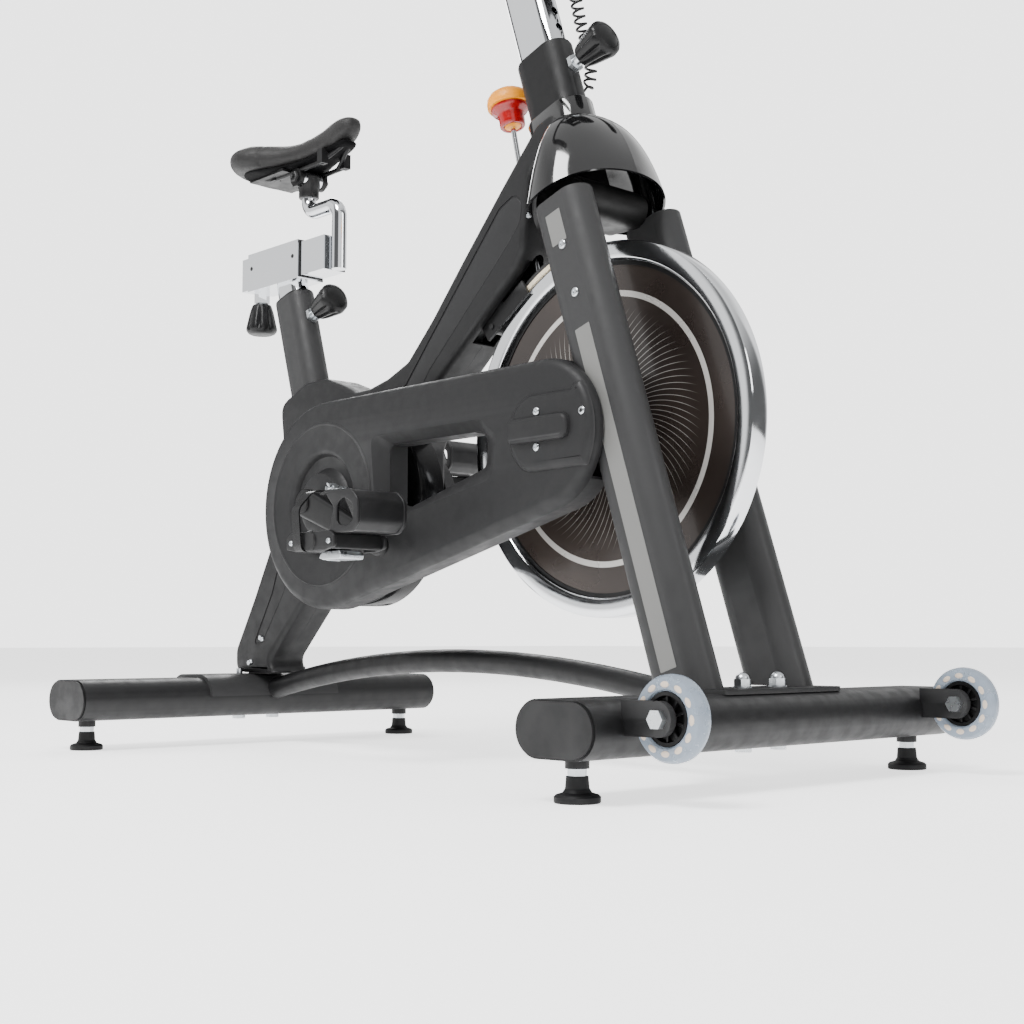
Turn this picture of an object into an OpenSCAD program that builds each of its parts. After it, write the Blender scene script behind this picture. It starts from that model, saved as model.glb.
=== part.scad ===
// Indoor cycle with a belt-driven flywheel, felt-pad brake, sliding saddle and handlebar post.
// X runs forward, Y to the rider's left and Z up. The floor is Z = 0, and Y = 0 is the middle plane.

/* [Base] */
// Distance of the front and rear feet from the middle of the base
foot_reach = 493; // [470:1:510]
// Distance of each foot from the middle plane
foot_side = 286.7; // [260:0.1:295]
// Length of each stabilizer tube
stab_length = 640; // [620:10:700]
// Front to back width of a stabilizer tube
stab_width = 108; // [100:1:112]
// Height of a stabilizer tube
stab_height = 58; // [54:1:60]
// Radius of the pad of a foot
foot_radius = 23; // [18:1:28]

/* [Drive] */
// Outer radius of the flywheel
flywheel_radius = 230; // [222:1:230]
// Thickness of the flywheel rim
rim_width = 27.9; // [20:0.1:30]
// Pitch radius of the pulley on the cranks
drive_pulley_radius = 112; // [90:1:118]
// Pitch radius of the pulley on the flywheel
driven_pulley_radius = 34; // [26:1:35]
// Distance between the crank axle and the pedal spindle
crank_length = 170; // [160:1:172]
// Angle of the right crank below the horizontal
crank_drop = 22; // [0:1:40]

/* [Frame] */
// Backward lean of the fork and the handlebar post
lean = 18; // [17:0.5:19]
// Backward lean of the seat post
seat_lean = 17; // [16:0.5:18]
// Front to back width of a fork leg
leg_width = 80; // [70:1:82]
// Side to side thickness of a fork leg
leg_thick = 46; // [40:1:48]
// Distance of each fork leg from the middle plane
leg_side = 80; // [78:1:82]
// Wall thickness of the moulded covers
cover_wall = 3; // [2.5:0.5:4]

/* [Hidden] */
$fn = 64;

// The middle of the base lies this far behind the middle of the whole length
base_shift = -40;
gap = 0.3;
fit = 0.05;
far = 900;

// Base
stab_z = 71;
stem_radius = 5;
stab_wall = 2.5;
plate_thick = 5;
nut_z = 26;
boss_z = 33;
bolt_side = 31;
wheel_x = 590;
wheel_z = 83;
wheel_radius = 42;
wheel_width = 22;
wheel_in = 247;

// Drive
axle = [268.7, 0, 413.1];
crank = [-161, 0, 341.5];
axle_radius = 8.5;
crank_radius = 10;
rim_inner = 206;
belt_y = -96;
belt_width = 14;
belt_thick = 4;
arm_in = 136;
arm_thick = 14;
pedal_in = 165;
pedal_width = 88;
pedal_right_at = [crank[0] + crank_length * cos(crank_drop), crank[2] - crank_length * sin(crank_drop)];
pedal_left_at = [crank[0] - crank_length * cos(crank_drop), crank[2] + crank_length * sin(crank_drop)];
spindle_radius = 6;

// Frame
leg_foot = [459, 104];
leg_length = 648;
seat_top = [-400.5, 683];
seat_tube_w = 70;
seat_tube_t = 45;
seat_post_w = 57;
seat_post_t = 32;
seat_wall = 2.5;
head_top = [157, 911];
head_w = 84;
head_t = 48;
head_wall = 3;
bar_post_w = 72;
bar_post_t = 36;
bar_post_down = 125;
bar_post_up = 165;
cover_half = 33;
beam_foot = [-225, 357];
beam_turn = 46;
beam_w = 60;
beam_t = 44;
rear_leg_top = [-237, 357];
rear_leg_turn = 42.7;
rear_leg_w = 46;
rod_radius = 3.5;
rod_lean = 12.86;
rod_top = [96, 834];
rod_length = 214.7;

// Seat
slider_z = 738;
slider_rear = -518;
slider_front = -298;
slider_h = 52;
slider_t = 40;
carriage_rear = -496;
carriage_front = -360;
carriage_h = 60;
carriage_t = 48;
carriage_wall = 2.5;
stem_tube = 11.1;
tilt_at = [-366, 866];

// Belt guard
guard_out = -120;
guard_split = -106;
guard_in = -78;
guard_rear_r = 143;
guard_front_r = 90;
guard_front = [268.7, 396.5];
boss_radius = 138;

// Brake
brake_pivot = [75, 567];
pad_inner = 232.2;
pad_outer = 238;
band_outer = 244;

// ---------- shapes shared by several pieces ----------

// A cylinder along Y between two values of Y
module y_rod(at, y0, y1, r) {
    translate([at[0], y1, at[1]]) rotate([90, 0, 0]) cylinder(r = r, h = y1 - y0);
}

// An outline in X and Z, given a thickness along Y
module y_slab(y0, y1) {
    translate([0, y1, 0]) rotate([90, 0, 0]) linear_extrude(y1 - y0) children();
}

// A place in the middle plane, turned back by an angle
module leaning(at, angle) {
    translate([at[0], 0, at[1]]) rotate([0, -angle, 0]) children();
}

// Flat oval outline, w by t
module oval(w, t) {
    square([w - t, t], center = true);
    for (s = [-1, 1]) translate([s * (w - t) / 2, 0]) circle(d = t);
}

module oval_bar(w, t, h) {
    linear_extrude(h) oval(w, t);
}

module oval_tube(w, t, wall, h) {
    linear_extrude(h) difference() {
        oval(w, t);
        oval(w - 2 * wall, t - 2 * wall);
    }
}

module hexagon(across, h) {
    cylinder(r = across / 2 / cos(30), h = h, $fn = 6);
}

// The holes for both brake rod and its sleeve run along this line
module rod_line(r, h) {
    leaning(rod_top, rod_lean) translate([0, 0, -h]) cylinder(r = r, h = h);
}

// Knob of a pull pin. Its pin points along -Z, and Z = 0 is the outer face of the tube
knob_radius = 24.5;
knob_start = 17;
module pull_knob(pin_reach) {
    rotate_extrude() polygon([[0, knob_start], [15, knob_start], [16.5, 19], [knob_radius - 1.5, 48],
        [knob_radius, 55], [knob_radius - 2, 61], [16, 67], [0, 69]]);
    translate([0, 0, -pin_reach]) cylinder(r = stem_radius, h = pin_reach + knob_start + 1);
}

module pin_barrel(across, h) {
    difference() {
        union() {
            hexagon(across, 6);
            cylinder(r = 7.5, h = h);
        }
        translate([0, 0, -1]) cylinder(r = stem_radius + fit, h = h + 2);
    }
}

// ---------- base ----------

module stab_outline(grow = 0) {
    oval(stab_width + 2 * grow, stab_height + 2 * grow);
}

module stem_hole(x, s) {
    translate([x, s * foot_side, nut_z - 1]) cylinder(r = stem_radius + fit, h = 22);
}

module stabilizer(x) {
    difference() {
        union() {
            translate([x, 0, stab_z]) y_slab(-stab_length / 2 + 3, stab_length / 2 - 3)
                stab_outline();
            for (s = [-1, 1]) {
                translate([x, 0, stab_z])
                    y_slab(s * (stab_length / 2 - 1.5) - 1.5, s * (stab_length / 2 - 1.5) + 1.5)
                    stab_outline(-2);
                translate([x, s * foot_side, boss_z]) cylinder(r = 12, h = 11);
            }
        }
        translate([x, 0, stab_z]) y_slab(-stab_length / 2 + 3, stab_length / 2 - 3)
            stab_outline(-stab_wall);
        for (s = [-1, 1]) {
            stem_hole(x, s);
            translate([x, s * bolt_side, 30]) cylinder(r = stem_radius + 0.5, h = 80);
        }
    }
}

module rear_stabilizer() {
    color([0.16, 0.16, 0.17]) stabilizer(-foot_reach);
}

// Wheel brackets are flat bars welded to the front face of the stabilizer, each on the right of
// its wheel
function bracket_y(s) = s > 0 ? wheel_in - 5 : -wheel_in - wheel_width - 5;

module front_stabilizer() {
    color([0.16, 0.16, 0.17]) {
        stabilizer(foot_reach);
        for (s = [-1, 1]) difference() {
            y_slab(bracket_y(s) - 4, bracket_y(s) + 4) union() {
                translate([foot_reach + stab_width / 2 - 4, wheel_z - 17]) square([40, 34]);
                translate([wheel_x - 2, wheel_z]) circle(r = 17);
            }
            y_rod([wheel_x, wheel_z], bracket_y(s) - 5, bracket_y(s) + 5, stem_radius + fit);
            translate([foot_reach, 0, stab_z]) y_slab(-stab_length / 2, stab_length / 2)
                stab_outline(-0.5);
        }
    }
}

// Saddle plate lying over the top of a stabilizer
module base_plate(x, half) {
    difference() {
        translate([x, 0, stab_z]) y_slab(-half, half) difference() {
            stab_outline(plate_thick);
            stab_outline(0.05);
            translate([-stab_width, -stab_height]) square([2 * stab_width, stab_height + 2]);
        }
        for (s = [-1, 1]) translate([x, s * bolt_side, 30])
            cylinder(r = stem_radius + 0.5, h = 90);
    }
}

module rear_base_plate() {
    color([0.13, 0.13, 0.14]) base_plate(-foot_reach, 116);
}

module front_base_plate() {
    color([0.13, 0.13, 0.14]) base_plate(foot_reach, 132);
}

module base_bolt(x, y) {
    translate([x, y, stab_z - stab_height / 2 - 6]) {
        hexagon(17, 6);
        cylinder(r = stem_radius, h = 77);
    }
}

module dome_nut(x, y) {
    translate([x, y, stab_z + stab_height / 2 + plate_thick]) {
        cylinder(r = 10.5, h = 1.5);
        translate([0, 0, 1.5]) hexagon(17, 8);
        translate([0, 0, 9]) sphere(r = 7.8);
    }
}

// Base plate bolts, jam nuts of the feet and bolts of the transport wheels
module frame_bolts() {
    color([0.78, 0.79, 0.8]) {
        for (x = [-1, 1], s = [-1, 1]) {
            base_bolt(x * foot_reach, s * bolt_side);
            translate([x * foot_reach, s * foot_side, nut_z]) difference() {
                hexagon(17, boss_z - nut_z);
                translate([0, 0, -1]) cylinder(r = stem_radius + fit, h = 12);
            }
        }
        for (s = [-1, 1]) {
            dome_nut(foot_reach, s * bolt_side);
            y_rod([wheel_x, wheel_z], bracket_y(s) - 9, bracket_y(s) + 29, stem_radius);
            translate([wheel_x, bracket_y(s) - 4, wheel_z]) rotate([90, 0, 0]) hexagon(17, 6);
            translate([wheel_x, bracket_y(s) + 29, wheel_z]) rotate([-90, 0, 0]) hexagon(17, 7);
        }
    }
}

// Arched round tube between the stabilizers
belly_bend = 2000;
module belly_tube() {
    color([0.12, 0.12, 0.13]) difference() {
        translate([-10, 0, 129 - belly_bend]) rotate([90, 0, 0])
            rotate([0, 0, 77.2]) rotate_extrude(angle = 25.9, $fn = 720)
            translate([belly_bend, 0]) difference() {
                circle(r = 15.5);
                circle(r = 13);
            }
        for (x = [-1, 1]) translate([x * foot_reach, 0, stab_z])
            y_slab(-40, 40) stab_outline(plate_thick + 0.1);
    }
}

module foot(x, s) {
    color([0.06, 0.06, 0.06]) translate([x, s * foot_side, 0]) {
        rotate_extrude() polygon([[0, 0], [foot_radius - 1, 0], [foot_radius, 1], [foot_radius, 6],
            [foot_radius - 2, 8], [14.5, 10], [12, 14], [11, 25.6], [0, 25.6]]);
        cylinder(r = stem_radius, h = 60);
    }
}

module transport_wheel(s) {
    color([0.72, 0.76, 0.8]) {
        difference() {
            y_rod([wheel_x, wheel_z], s > 0 ? wheel_in : -wheel_in - wheel_width,
                s > 0 ? wheel_in + wheel_width : -wheel_in, wheel_radius);
            y_rod([wheel_x, wheel_z], -far, far, stem_radius + fit);
            for (k = [0 : 11]) y_rod([wheel_x + 31 * cos(30 * k), wheel_z + 31 * sin(30 * k)],
                s * (wheel_in + wheel_width) - 5, s * (wheel_in + wheel_width) + 5, 4.5);
        }
    }
}

// ---------- frame tubes ----------

// A fork leg with the plate that holds the flywheel bearing
module fork_leg(s) {
    color([0.2, 0.2, 0.21]) difference() {
        union() {
            translate([0, s * leg_side, 0]) leaning(leg_foot, lean) translate([0, 0, -40])
                oval_tube(leg_width, leg_thick, 2.5, leg_length);
            y_slab(s > 0 ? 62 : -70, s > 0 ? 70 : -62) difference() {
                translate([axle[0], axle[2] - 30]) square([88, 60]);
                translate(leg_foot) rotate(lean) translate([-5, -20]) square([80, 700]);
            }
            y_rod([axle[0], axle[2]], s > 0 ? 56 : -74, s > 0 ? 74 : -56, 30);
        }
        y_rod([axle[0], axle[2]], -far, far, 20);
        translate([leg_foot[0] - 200, -200, 0])
            cube([400, 400, stab_z + stab_height / 2 + plate_thick]);
    }
}

// Ball bearings of the flywheel axle and of the crank axle
module bearing(at, y, r_in, r_out, width) {
    difference() {
        y_rod(at, y - width / 2, y + width / 2, r_out);
        y_rod(at, y - width, y + width, r_in + fit);
    }
}

module bearings() {
    color([0.7, 0.71, 0.73]) for (s = [-1, 1]) {
        bearing([axle[0], axle[2]], s * 65, axle_radius, 20, 14);
        bearing([crank[0], crank[2]], s * 34, crank_radius, 24, 14);
    }
}

module rear_leg() {
    color([0.12, 0.12, 0.13]) difference() {
        translate([rear_leg_top[0], 0, rear_leg_top[1]]) rotate([0, rear_leg_turn + 180, 0])
            translate([0, 0, -30]) oval_tube(rear_leg_w, beam_t, 2.5, 430);
        translate([beam_foot[0], -100, beam_foot[1]]) rotate([0, beam_turn, 0])
            translate([-far, 0, 0]) cube([2 * far, 200, far]);
        translate([-far, -100, 0]) cube([far, 200, stab_z + stab_height / 2 + plate_thick]);
        translate([-foot_reach, 0, stab_z]) y_slab(-60, 60) stab_outline(plate_thick + 0.1);
        y_rod([crank[0], crank[2]], -60, 60, 30.1);
    }
}

module main_beam() {
    color([0.12, 0.12, 0.13]) difference() {
        union() {
            translate([beam_foot[0], 0, beam_foot[1]]) rotate([0, beam_turn, 0])
                oval_tube(beam_w, beam_t, 2.5, 600);
            leaning([140, 642], rod_lean) translate([0, 0, 16]) cylinder(r = 9, h = 118);
        }
        leaning(head_top, lean) translate([-head_w / 2 - 0.1, -60, -300]) cube([300, 120, 400]);
        y_rod([crank[0], crank[2]], -60, 60, 30.1);
        rod_line(rod_radius + fit, 300);
    }
}

module seat_tube() {
    color([0.16, 0.16, 0.17]) difference() {
        leaning(seat_top, seat_lean) translate([0, 0, -430])
            oval_tube(seat_tube_w, seat_tube_t, seat_wall, 430);
        translate([rear_leg_top[0], -100, rear_leg_top[1]]) rotate([0, rear_leg_turn, 0])
            translate([-rear_leg_w / 2 - 0.1, 0, -far]) cube([far, 200, 2 * far]);
        leaning(seat_top, seat_lean) translate([0, 0, -43.5]) rotate([0, 90, 0])
            cylinder(r = stem_radius + 0.4, h = 60);
    }
}

// Head tube with the crown that joins the fork legs
module head_tube() {
    color([0.13, 0.13, 0.14]) difference() {
        union() {
            leaning(head_top, lean) translate([0, 0, -230]) oval_bar(head_w, head_t, 230);
            y_slab(-leg_side + leg_thick / 2, leg_side - leg_thick / 2)
                translate([241, 697]) oval(84, 46);
            translate([188, head_t / 2 - 3, 868]) rotate([-90, 0, 0]) cylinder(r = 7, h = 12);
        }
        leaning(head_top, lean) translate([0, 0, -200])
            oval_bar(head_w - 2 * head_wall, head_t - 2 * head_wall, 220);
        y_slab(-far, far) translate([241, 697]) oval(78, 40);
        leaning(head_top, lean) translate([0, 0, -37.4]) rotate([0, 90, 0])
            cylinder(r = stem_radius + 0.4, h = 60);
    }
}

module bottom_bracket() {
    color([0.12, 0.12, 0.13]) difference() {
        y_rod([crank[0], crank[2]], -42, 42, 30);
        y_rod([crank[0], crank[2]], -60, 60, 24);
    }
}

// ---------- covers ----------

// Side outline of the body cover, from the foot of the rear leg round to the head
module cover_outline() {
    polygon([[-504, 107], [-504, 143], [-455, 223], [-412, 300], [-389, 370], [-384, 430], [-384, 458],
        [-392, 515], [-326, 541], [-275, 541], [-240, 528], [-206, 513], [-170, 514], [-130, 523],
        [-85, 541], [-32, 593], [30, 662], [108, 746], [172, 812], [206, 823], [216, 792], [160, 752],
        [155, 706], [150, 655], [134, 630], [5, 523], [-45, 480], [-75, 420], [-75, 330], [-95, 290],
        [-140, 267], [-200, 272], [-240, 297], [-316, 221], [-412, 127], [-398, 107]]);
}

module cover_holes() {
    leaning(seat_top, seat_lean) translate([0, 0, -180])
        oval_bar(seat_tube_w + 1, seat_tube_t + 1, 190);
    leaning(head_top, lean) translate([0, 0, -200]) oval_bar(head_w + 1, head_t + 1, 220);
    leaning(head_top, lean) translate([0, 0, collar_low - gap])
        oval_bar(head_w + 12 + 2 * gap, head_t + 12 + 2 * gap, 60);
    rod_line(10.5, 210);
    translate([beam_foot[0], 0, beam_foot[1]]) rotate([0, beam_turn, 0]) translate([0, 0, 300])
        oval_bar(beam_w + 1, beam_t + 1, 400);
    translate([rear_leg_top[0], 0, rear_leg_top[1]]) rotate([0, rear_leg_turn + 180, 0])
        translate([0, 0, 300]) oval_bar(rear_leg_w + 1, beam_t + 1, 200);
    y_rod([crank[0], crank[2]], -far, far, 30.5);
    translate([-foot_reach, 0, stab_z]) y_slab(-60, 60) stab_outline(plate_thick + 0.3);
    y_slab(-far, far) translate([241, 697]) oval(86, 48);
    y_slab(-19.5, 19.5) translate([95, 590]) rotate(36) square([140, 60], center = true);
    for (s = [-1, 1]) translate([-foot_reach, s * bolt_side, 90]) cylinder(r = 9, h = 27);
    translate([-445, -17, 60]) cube([60, 34, 70]);
}

module cover_tray(s) {
    difference() {
        y_slab(s > 0 ? 0.1 : -cover_half, s > 0 ? cover_half : -0.1) cover_outline();
        y_slab(s > 0 ? 0 : cover_wall - cover_half, s > 0 ? cover_half - cover_wall : 0)
            offset(delta = -cover_wall) cover_outline();
        cover_holes();
    }
}

// The right half carries the round housing behind the drive pulley
module body_cover_right() {
    color([0.2, 0.2, 0.21]) {
        cover_tray(-1);
        difference() {
            y_rod([crank[0], crank[2]], -58, -cover_half, boss_radius);
            y_rod([crank[0], crank[2]], -58 + cover_wall, -cover_half + 1, boss_radius - cover_wall);
            y_rod([crank[0], crank[2]], -far, far, 30.5);
        }
        difference() {
            y_rod([crank[0], crank[2]], -cover_half, -15, boss_radius);
            y_rod([crank[0], crank[2]], -cover_half - 1, -15 - cover_wall, boss_radius - cover_wall);
            y_slab(-cover_half - 1, 0) offset(delta = 0.1) cover_outline();
        }
    }
}

module body_cover_left() {
    color([0.2, 0.2, 0.21]) cover_tray(1);
}

module crank_cover_left() {
    color([0.14, 0.14, 0.15]) difference() {
        y_rod([crank[0], crank[2]], cover_half + 0.1, 52, 88);
        y_rod([crank[0], crank[2]], cover_half, 49, 85);
        y_rod([crank[0], crank[2]], 0, 60, 30.5);
    }
}

// Lower end of the hood's collar, measured down the head tube
collar_low = -124;

// Flared hood over the top of the fork. s runs down from the collar and t from the front seam backward
hood_rows = 10;
hood_cols = 18;
hood_front = [[241, 811], [317, 723]];
hood_side = [[224, 36.5, 804], [236, 108, 680]];
hood_rear = [[203, 36.5, 792], [158, 35, 700]];
hood_full = 0.95;
hood_turn = 52;
function hood_out(s) = sin(hood_turn * s) / sin(hood_turn);
function hood_down(s) = (1 - cos(hood_turn * s)) / (1 - cos(hood_turn));
function mix(a, b, k) = a + (b - a) * k;
function hood_point(s, t, in) =
    let (fx = mix(hood_front[0][0], hood_front[1][0], hood_out(s)) - in,
        fz = mix(hood_front[0][1], hood_front[1][1], hood_down(s)),
        sx = mix(hood_side[0][0], hood_side[1][0], s),
        sy = mix(hood_side[0][1], hood_side[1][1], hood_out(s)) - in,
        sz = mix(hood_side[0][2], hood_side[1][2], hood_down(s)),
        rx = mix(hood_rear[0][0], hood_rear[1][0], hood_out(s)) + in,
        ry = hood_rear[0][1] - 0.6 * in,
        rz = mix(hood_rear[0][2], hood_rear[1][2], s),
        k = min(1, t / 0.65),
        m = max(0, (t - 0.65) / 0.35))
    m > 0 ? [mix(sx, rx, m), mix(sy, ry, m), mix(sz, rz, m * m)]
    : [sx + (fx - sx) * pow(cos(90 * k), hood_full), sy * pow(sin(90 * k), hood_full), mix(fz, sz, k * k)];

module hood(s) {
    rows = hood_rows;
    cols = hood_cols;
    layer = (rows + 1) * (cols + 1);
    points = [for (in = [0, cover_wall], i = [0 : rows], j = [0 : cols])
        let (p = hood_point(i / rows, j / cols, in)) [p[0], s * max(p[1], 0.1), p[2]]];
    at = function (l, i, j) l * layer + i * (cols + 1) + j;
    sheets = [for (l = [0, 1], i = [0 : rows - 1], j = [0 : cols - 1])
        let (q = [at(l, i, j), at(l, i, j + 1), at(l, i + 1, j + 1), at(l, i + 1, j)])
        for (f = [[q[0], q[1], q[2]], [q[0], q[2], q[3]]]) l == 0 ? f : [f[2], f[1], f[0]]];
    ends = [for (j = [0 : cols - 1], i = [0, rows])
        let (q = [at(0, i, j), at(1, i, j), at(1, i, j + 1), at(0, i, j + 1)])
        for (f = [[q[0], q[1], q[2]], [q[0], q[2], q[3]]]) i == 0 ? f : [f[2], f[1], f[0]]];
    sides = [for (i = [0 : rows - 1], j = [0, cols])
        let (q = [at(0, i, j), at(0, i + 1, j), at(1, i + 1, j), at(1, i, j)])
        for (f = [[q[0], q[1], q[2]], [q[0], q[2], q[3]]]) j == 0 ? f : [f[2], f[1], f[0]]];
    faces = concat(sheets, ends, sides);
    polyhedron(points, s < 0 ? [for (f = faces) [f[2], f[1], f[0]]] : faces);
}

module head_shroud(s) {
    color([0.07, 0.07, 0.08]) {
        hood(s);
        intersection() {
            leaning(head_top, lean) translate([0, 0, collar_low])
                oval_tube(head_w + 12, head_t + 12, 5, 36);
            translate([-far, s > 0 ? 0.1 : -far, 0]) cube([2 * far, far - 0.1, 2 * far]);
        }
    }
}

// Outline of the belt guard round both pulleys
module guard_outline() {
    hull() {
        translate([crank[0], crank[2]]) circle(r = guard_rear_r, $fn = 128);
        translate(guard_front) circle(r = guard_front_r, $fn = 96);
    }
}

module guard_window() {
    polygon([[-25, 334], [-25, 412], [140, 412], [158, 408], [166, 398], [165, 367], [11, 325]]);
}

module guard_rim(grow) {
    difference() {
        offset(delta = grow) guard_window();
        guard_window();
    }
}

module belt_guard_outer() {
    color([0.22, 0.22, 0.23]) difference() {
        union() {
            difference() {
                y_slab(guard_out, guard_split) guard_outline();
                y_slab(guard_out + cover_wall, guard_split + 1) offset(delta = -cover_wall)
                    guard_outline();
            }
            y_slab(guard_out + 1, guard_split) guard_rim(cover_wall);
            y_rod([crank[0], crank[2]], -117, guard_split, 73);
            y_rod([crank[0], crank[2]], -126, -117, 38);
        }
        y_rod([crank[0], crank[2]], -130, guard_split - 3, 70);
        y_rod([crank[0], crank[2]], -130, guard_split + 1, 14);
        y_slab(guard_out - 1, guard_split + 1) guard_window();
    }
    color([0.22, 0.22, 0.23]) difference() {
        y_rod([crank[0], crank[2]], -126, guard_split - 2.9, 40);
        y_rod([crank[0], crank[2]], -130, -100, 14);
    }
}

// Space kept free beside the right fork leg
module leg_clearance() {
    translate([0, -leg_side, 0]) leaning(leg_foot, lean) translate([0, 0, -40])
        translate([-leg_width / 2 - 2, -60, 0]) cube([400, 120, 700]);
}

module belt_guard_inner() {
    color([0.15, 0.15, 0.16]) difference() {
        y_slab(guard_split + 0.1, guard_in) guard_outline();
        difference() {
            y_slab(guard_split, guard_in - cover_wall) offset(delta = -cover_wall) guard_outline();
            y_slab(guard_split, guard_in) offset(delta = cover_wall) guard_window();
        }
        y_slab(guard_split - 1, guard_in + 1) guard_window();
        y_rod([crank[0], crank[2]], guard_split, guard_in + 1, 30.5);
        y_rod([axle[0], axle[2]], guard_split, guard_in + 1, 42);
        leg_clearance();
    }
}

// Small round-headed screws that hold the covers
module cover_screw(x, y, z, s) {
    translate([x, y, z]) rotate([s * 90, 0, 0]) cylinder(r = 3.6, h = 2.4);
}

module cover_screws() {
    color([0.75, 0.76, 0.78]) {
        cover_screw(270, -120.05, 421, 1);
        cover_screw(270, -120.05, 379, 1);
        cover_screw(342, -120.05, 414, 1);
        for (p = [[-432, 160], [-462, 122]]) cover_screw(p[0], -cover_half - 0.05, p[1], 1);
        for (p = [[-432, 160], [-462, 122], [158, 695]]) cover_screw(p[0], cover_half + 0.05, p[1], -1);
    }
}

// ---------- drive ----------

module flywheel_rim() {
    color([0.85, 0.86, 0.88]) difference() {
        y_rod([axle[0], axle[2]], -rim_width / 2, rim_width / 2, flywheel_radius, $fn = 180);
        y_rod([axle[0], axle[2]], -rim_width, rim_width, rim_inner, $fn = 180);
    }
}

module flywheel_disc() {
    color([0.24, 0.2, 0.18]) difference() {
        union() {
            y_rod([axle[0], axle[2]], -7, 7, rim_inner);
            y_rod([axle[0], axle[2]], -22, 22, 34);
        }
        y_rod([axle[0], axle[2]], -far, far, axle_radius);
    }
}

// Steel axle with a collar against each bearing
module flywheel_axle() {
    color([0.6, 0.61, 0.63]) {
        y_rod([axle[0], axle[2]], -104, 78, axle_radius);
        for (s = [-1, 1]) difference() {
            y_rod([axle[0], axle[2]], s > 0 ? 22 : -57, s > 0 ? 57 : -22, 13);
            y_rod([axle[0], axle[2]], -far, far, axle_radius);
        }
    }
}

module pulley(at, r, bore) {
    difference() {
        union() {
            y_rod(at, belt_y - belt_width / 2 - 0.5, belt_y + belt_width / 2 + 0.5, r - 2);
            for (s = [-1, 1]) y_rod(at, belt_y + s * (belt_width / 2 + 1.25) - 0.75,
                belt_y + s * (belt_width / 2 + 1.25) + 0.75, r + 1);
        }
        y_rod(at, -far, far, bore);
    }
}

module driven_pulley() {
    color([0.35, 0.35, 0.37]) pulley([axle[0], axle[2]], driven_pulley_radius, axle_radius);
}

module drive_pulley() {
    color([0.3, 0.3, 0.32]) difference() {
        pulley([crank[0], crank[2]], drive_pulley_radius, crank_radius);
        for (k = [0 : 5]) y_rod([crank[0] + 65 * cos(60 * k), crank[2] + 65 * sin(60 * k)],
            -far, far, 22);
    }
}

module belt_path(grow) {
    hull() {
        translate([crank[0], crank[2]]) circle(r = drive_pulley_radius - 2 + gap + grow, $fn = 128);
        translate([axle[0], axle[2]]) circle(r = driven_pulley_radius - 2 + gap + grow, $fn = 64);
    }
}

module drive_belt() {
    color([0.05, 0.05, 0.05]) y_slab(belt_y - belt_width / 2 + gap, belt_y + belt_width / 2 - gap)
        difference() {
            belt_path(belt_thick);
            belt_path(0);
        }
}

module crank_axle() {
    color([0.6, 0.61, 0.63]) {
        y_rod([crank[0], crank[2]], -arm_in - arm_thick + 2, arm_in + arm_thick - 2, crank_radius);
        difference() {
            y_rod([crank[0], crank[2]], belt_y + belt_width / 2 + 2.5, -42, 16);
            y_rod([crank[0], crank[2]], -far, far, crank_radius);
        }
    }
}

// A crank arm with its pedal spindle. Its X axis runs from the crank axle to the spindle
module crank_arm(at, s, turn) {
    color([0.1, 0.1, 0.11]) {
        difference() {
            translate([crank[0], 0, crank[2]]) rotate([0, turn, 0])
                y_slab(s > 0 ? arm_in : -arm_in - arm_thick, s > 0 ? arm_in + arm_thick : -arm_in)
                hull() {
                    circle(r = 20);
                    translate([crank_length, 0]) circle(r = 14);
                }
            y_rod([crank[0], crank[2]], -far, far, crank_radius);
        }
        y_rod(at, s > 0 ? arm_in + arm_thick - 1 : -pedal_in - pedal_width + 4,
            s > 0 ? pedal_in + pedal_width - 4 : -arm_in - arm_thick + 1, spindle_radius);
        y_rod(at, s > 0 ? arm_in + arm_thick - 1 : -pedal_in + 3,
            s > 0 ? pedal_in - 3 : -arm_in - arm_thick + 1, 9);
    }
}

// Pedal body: bearing barrel, two side plates, cross bars and the cleat holder below
module pedal(at, s) {
    inner = s > 0 ? pedal_in : -pedal_in;
    color([0.09, 0.09, 0.1]) translate([at[0], inner, at[1]]) scale([1, s, 1]) difference() {
        union() {
            y_rod([0, 0], 0, pedal_width, 14);
            for (y = [2, pedal_width - 8]) y_slab(y, y + 6) oval(100, 24);
            for (x = [-43, 35]) translate([x, 2, -9]) cube([8, pedal_width - 4, 18]);
            translate([-9, 24, -22]) cube([40, 40, 12]);
        }
        y_rod([0, 0], -1, pedal_width - 3, spindle_radius + fit);
    }
}

// Toe cage with its strap, standing on the front of the pedal
cage_top = 58;
cage_front = 92;
module toe_cage(at, s) {
    inner = s > 0 ? pedal_in : -pedal_in;
    color([0.12, 0.12, 0.13]) translate([at[0], inner, at[1]]) scale([1, s, 1]) {
        y_slab(8, pedal_width - 8) difference() {
            union() {
                translate([44, 9.5]) square([cage_front - 44 - 14, 4]);
                translate([cage_front - 14, 23.5]) circle(r = 14);
                translate([cage_front - 4, 23.5]) square([4, 17]);
                translate([cage_front - 20, 40.5]) circle(r = 20);
                translate([12, cage_top - 1.5]) square([cage_front - 30, 4]);
            }
            translate([0, 13.5]) square([cage_front - 18, cage_top - 15]);
            translate([cage_front - 14, 23.5]) circle(r = 10);
            translate([cage_front - 30, 23.5]) square([26, 17]);
            translate([cage_front - 20, 40.5]) circle(r = 16);
        }
        translate([-26, 0, 0]) rotate([90, 0, 90]) linear_extrude(16) difference() {
            translate([-3.2, -15]) square([pedal_width + 6.4, cage_top + 23]);
            translate([-0.5, -12.5]) square([pedal_width + 1, cage_top + 18]);
        }
        translate([-10.1, 8, cage_top + 5.6]) cube([24, pedal_width - 16, 2.4]);
    }
}

// ---------- seat ----------

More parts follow.
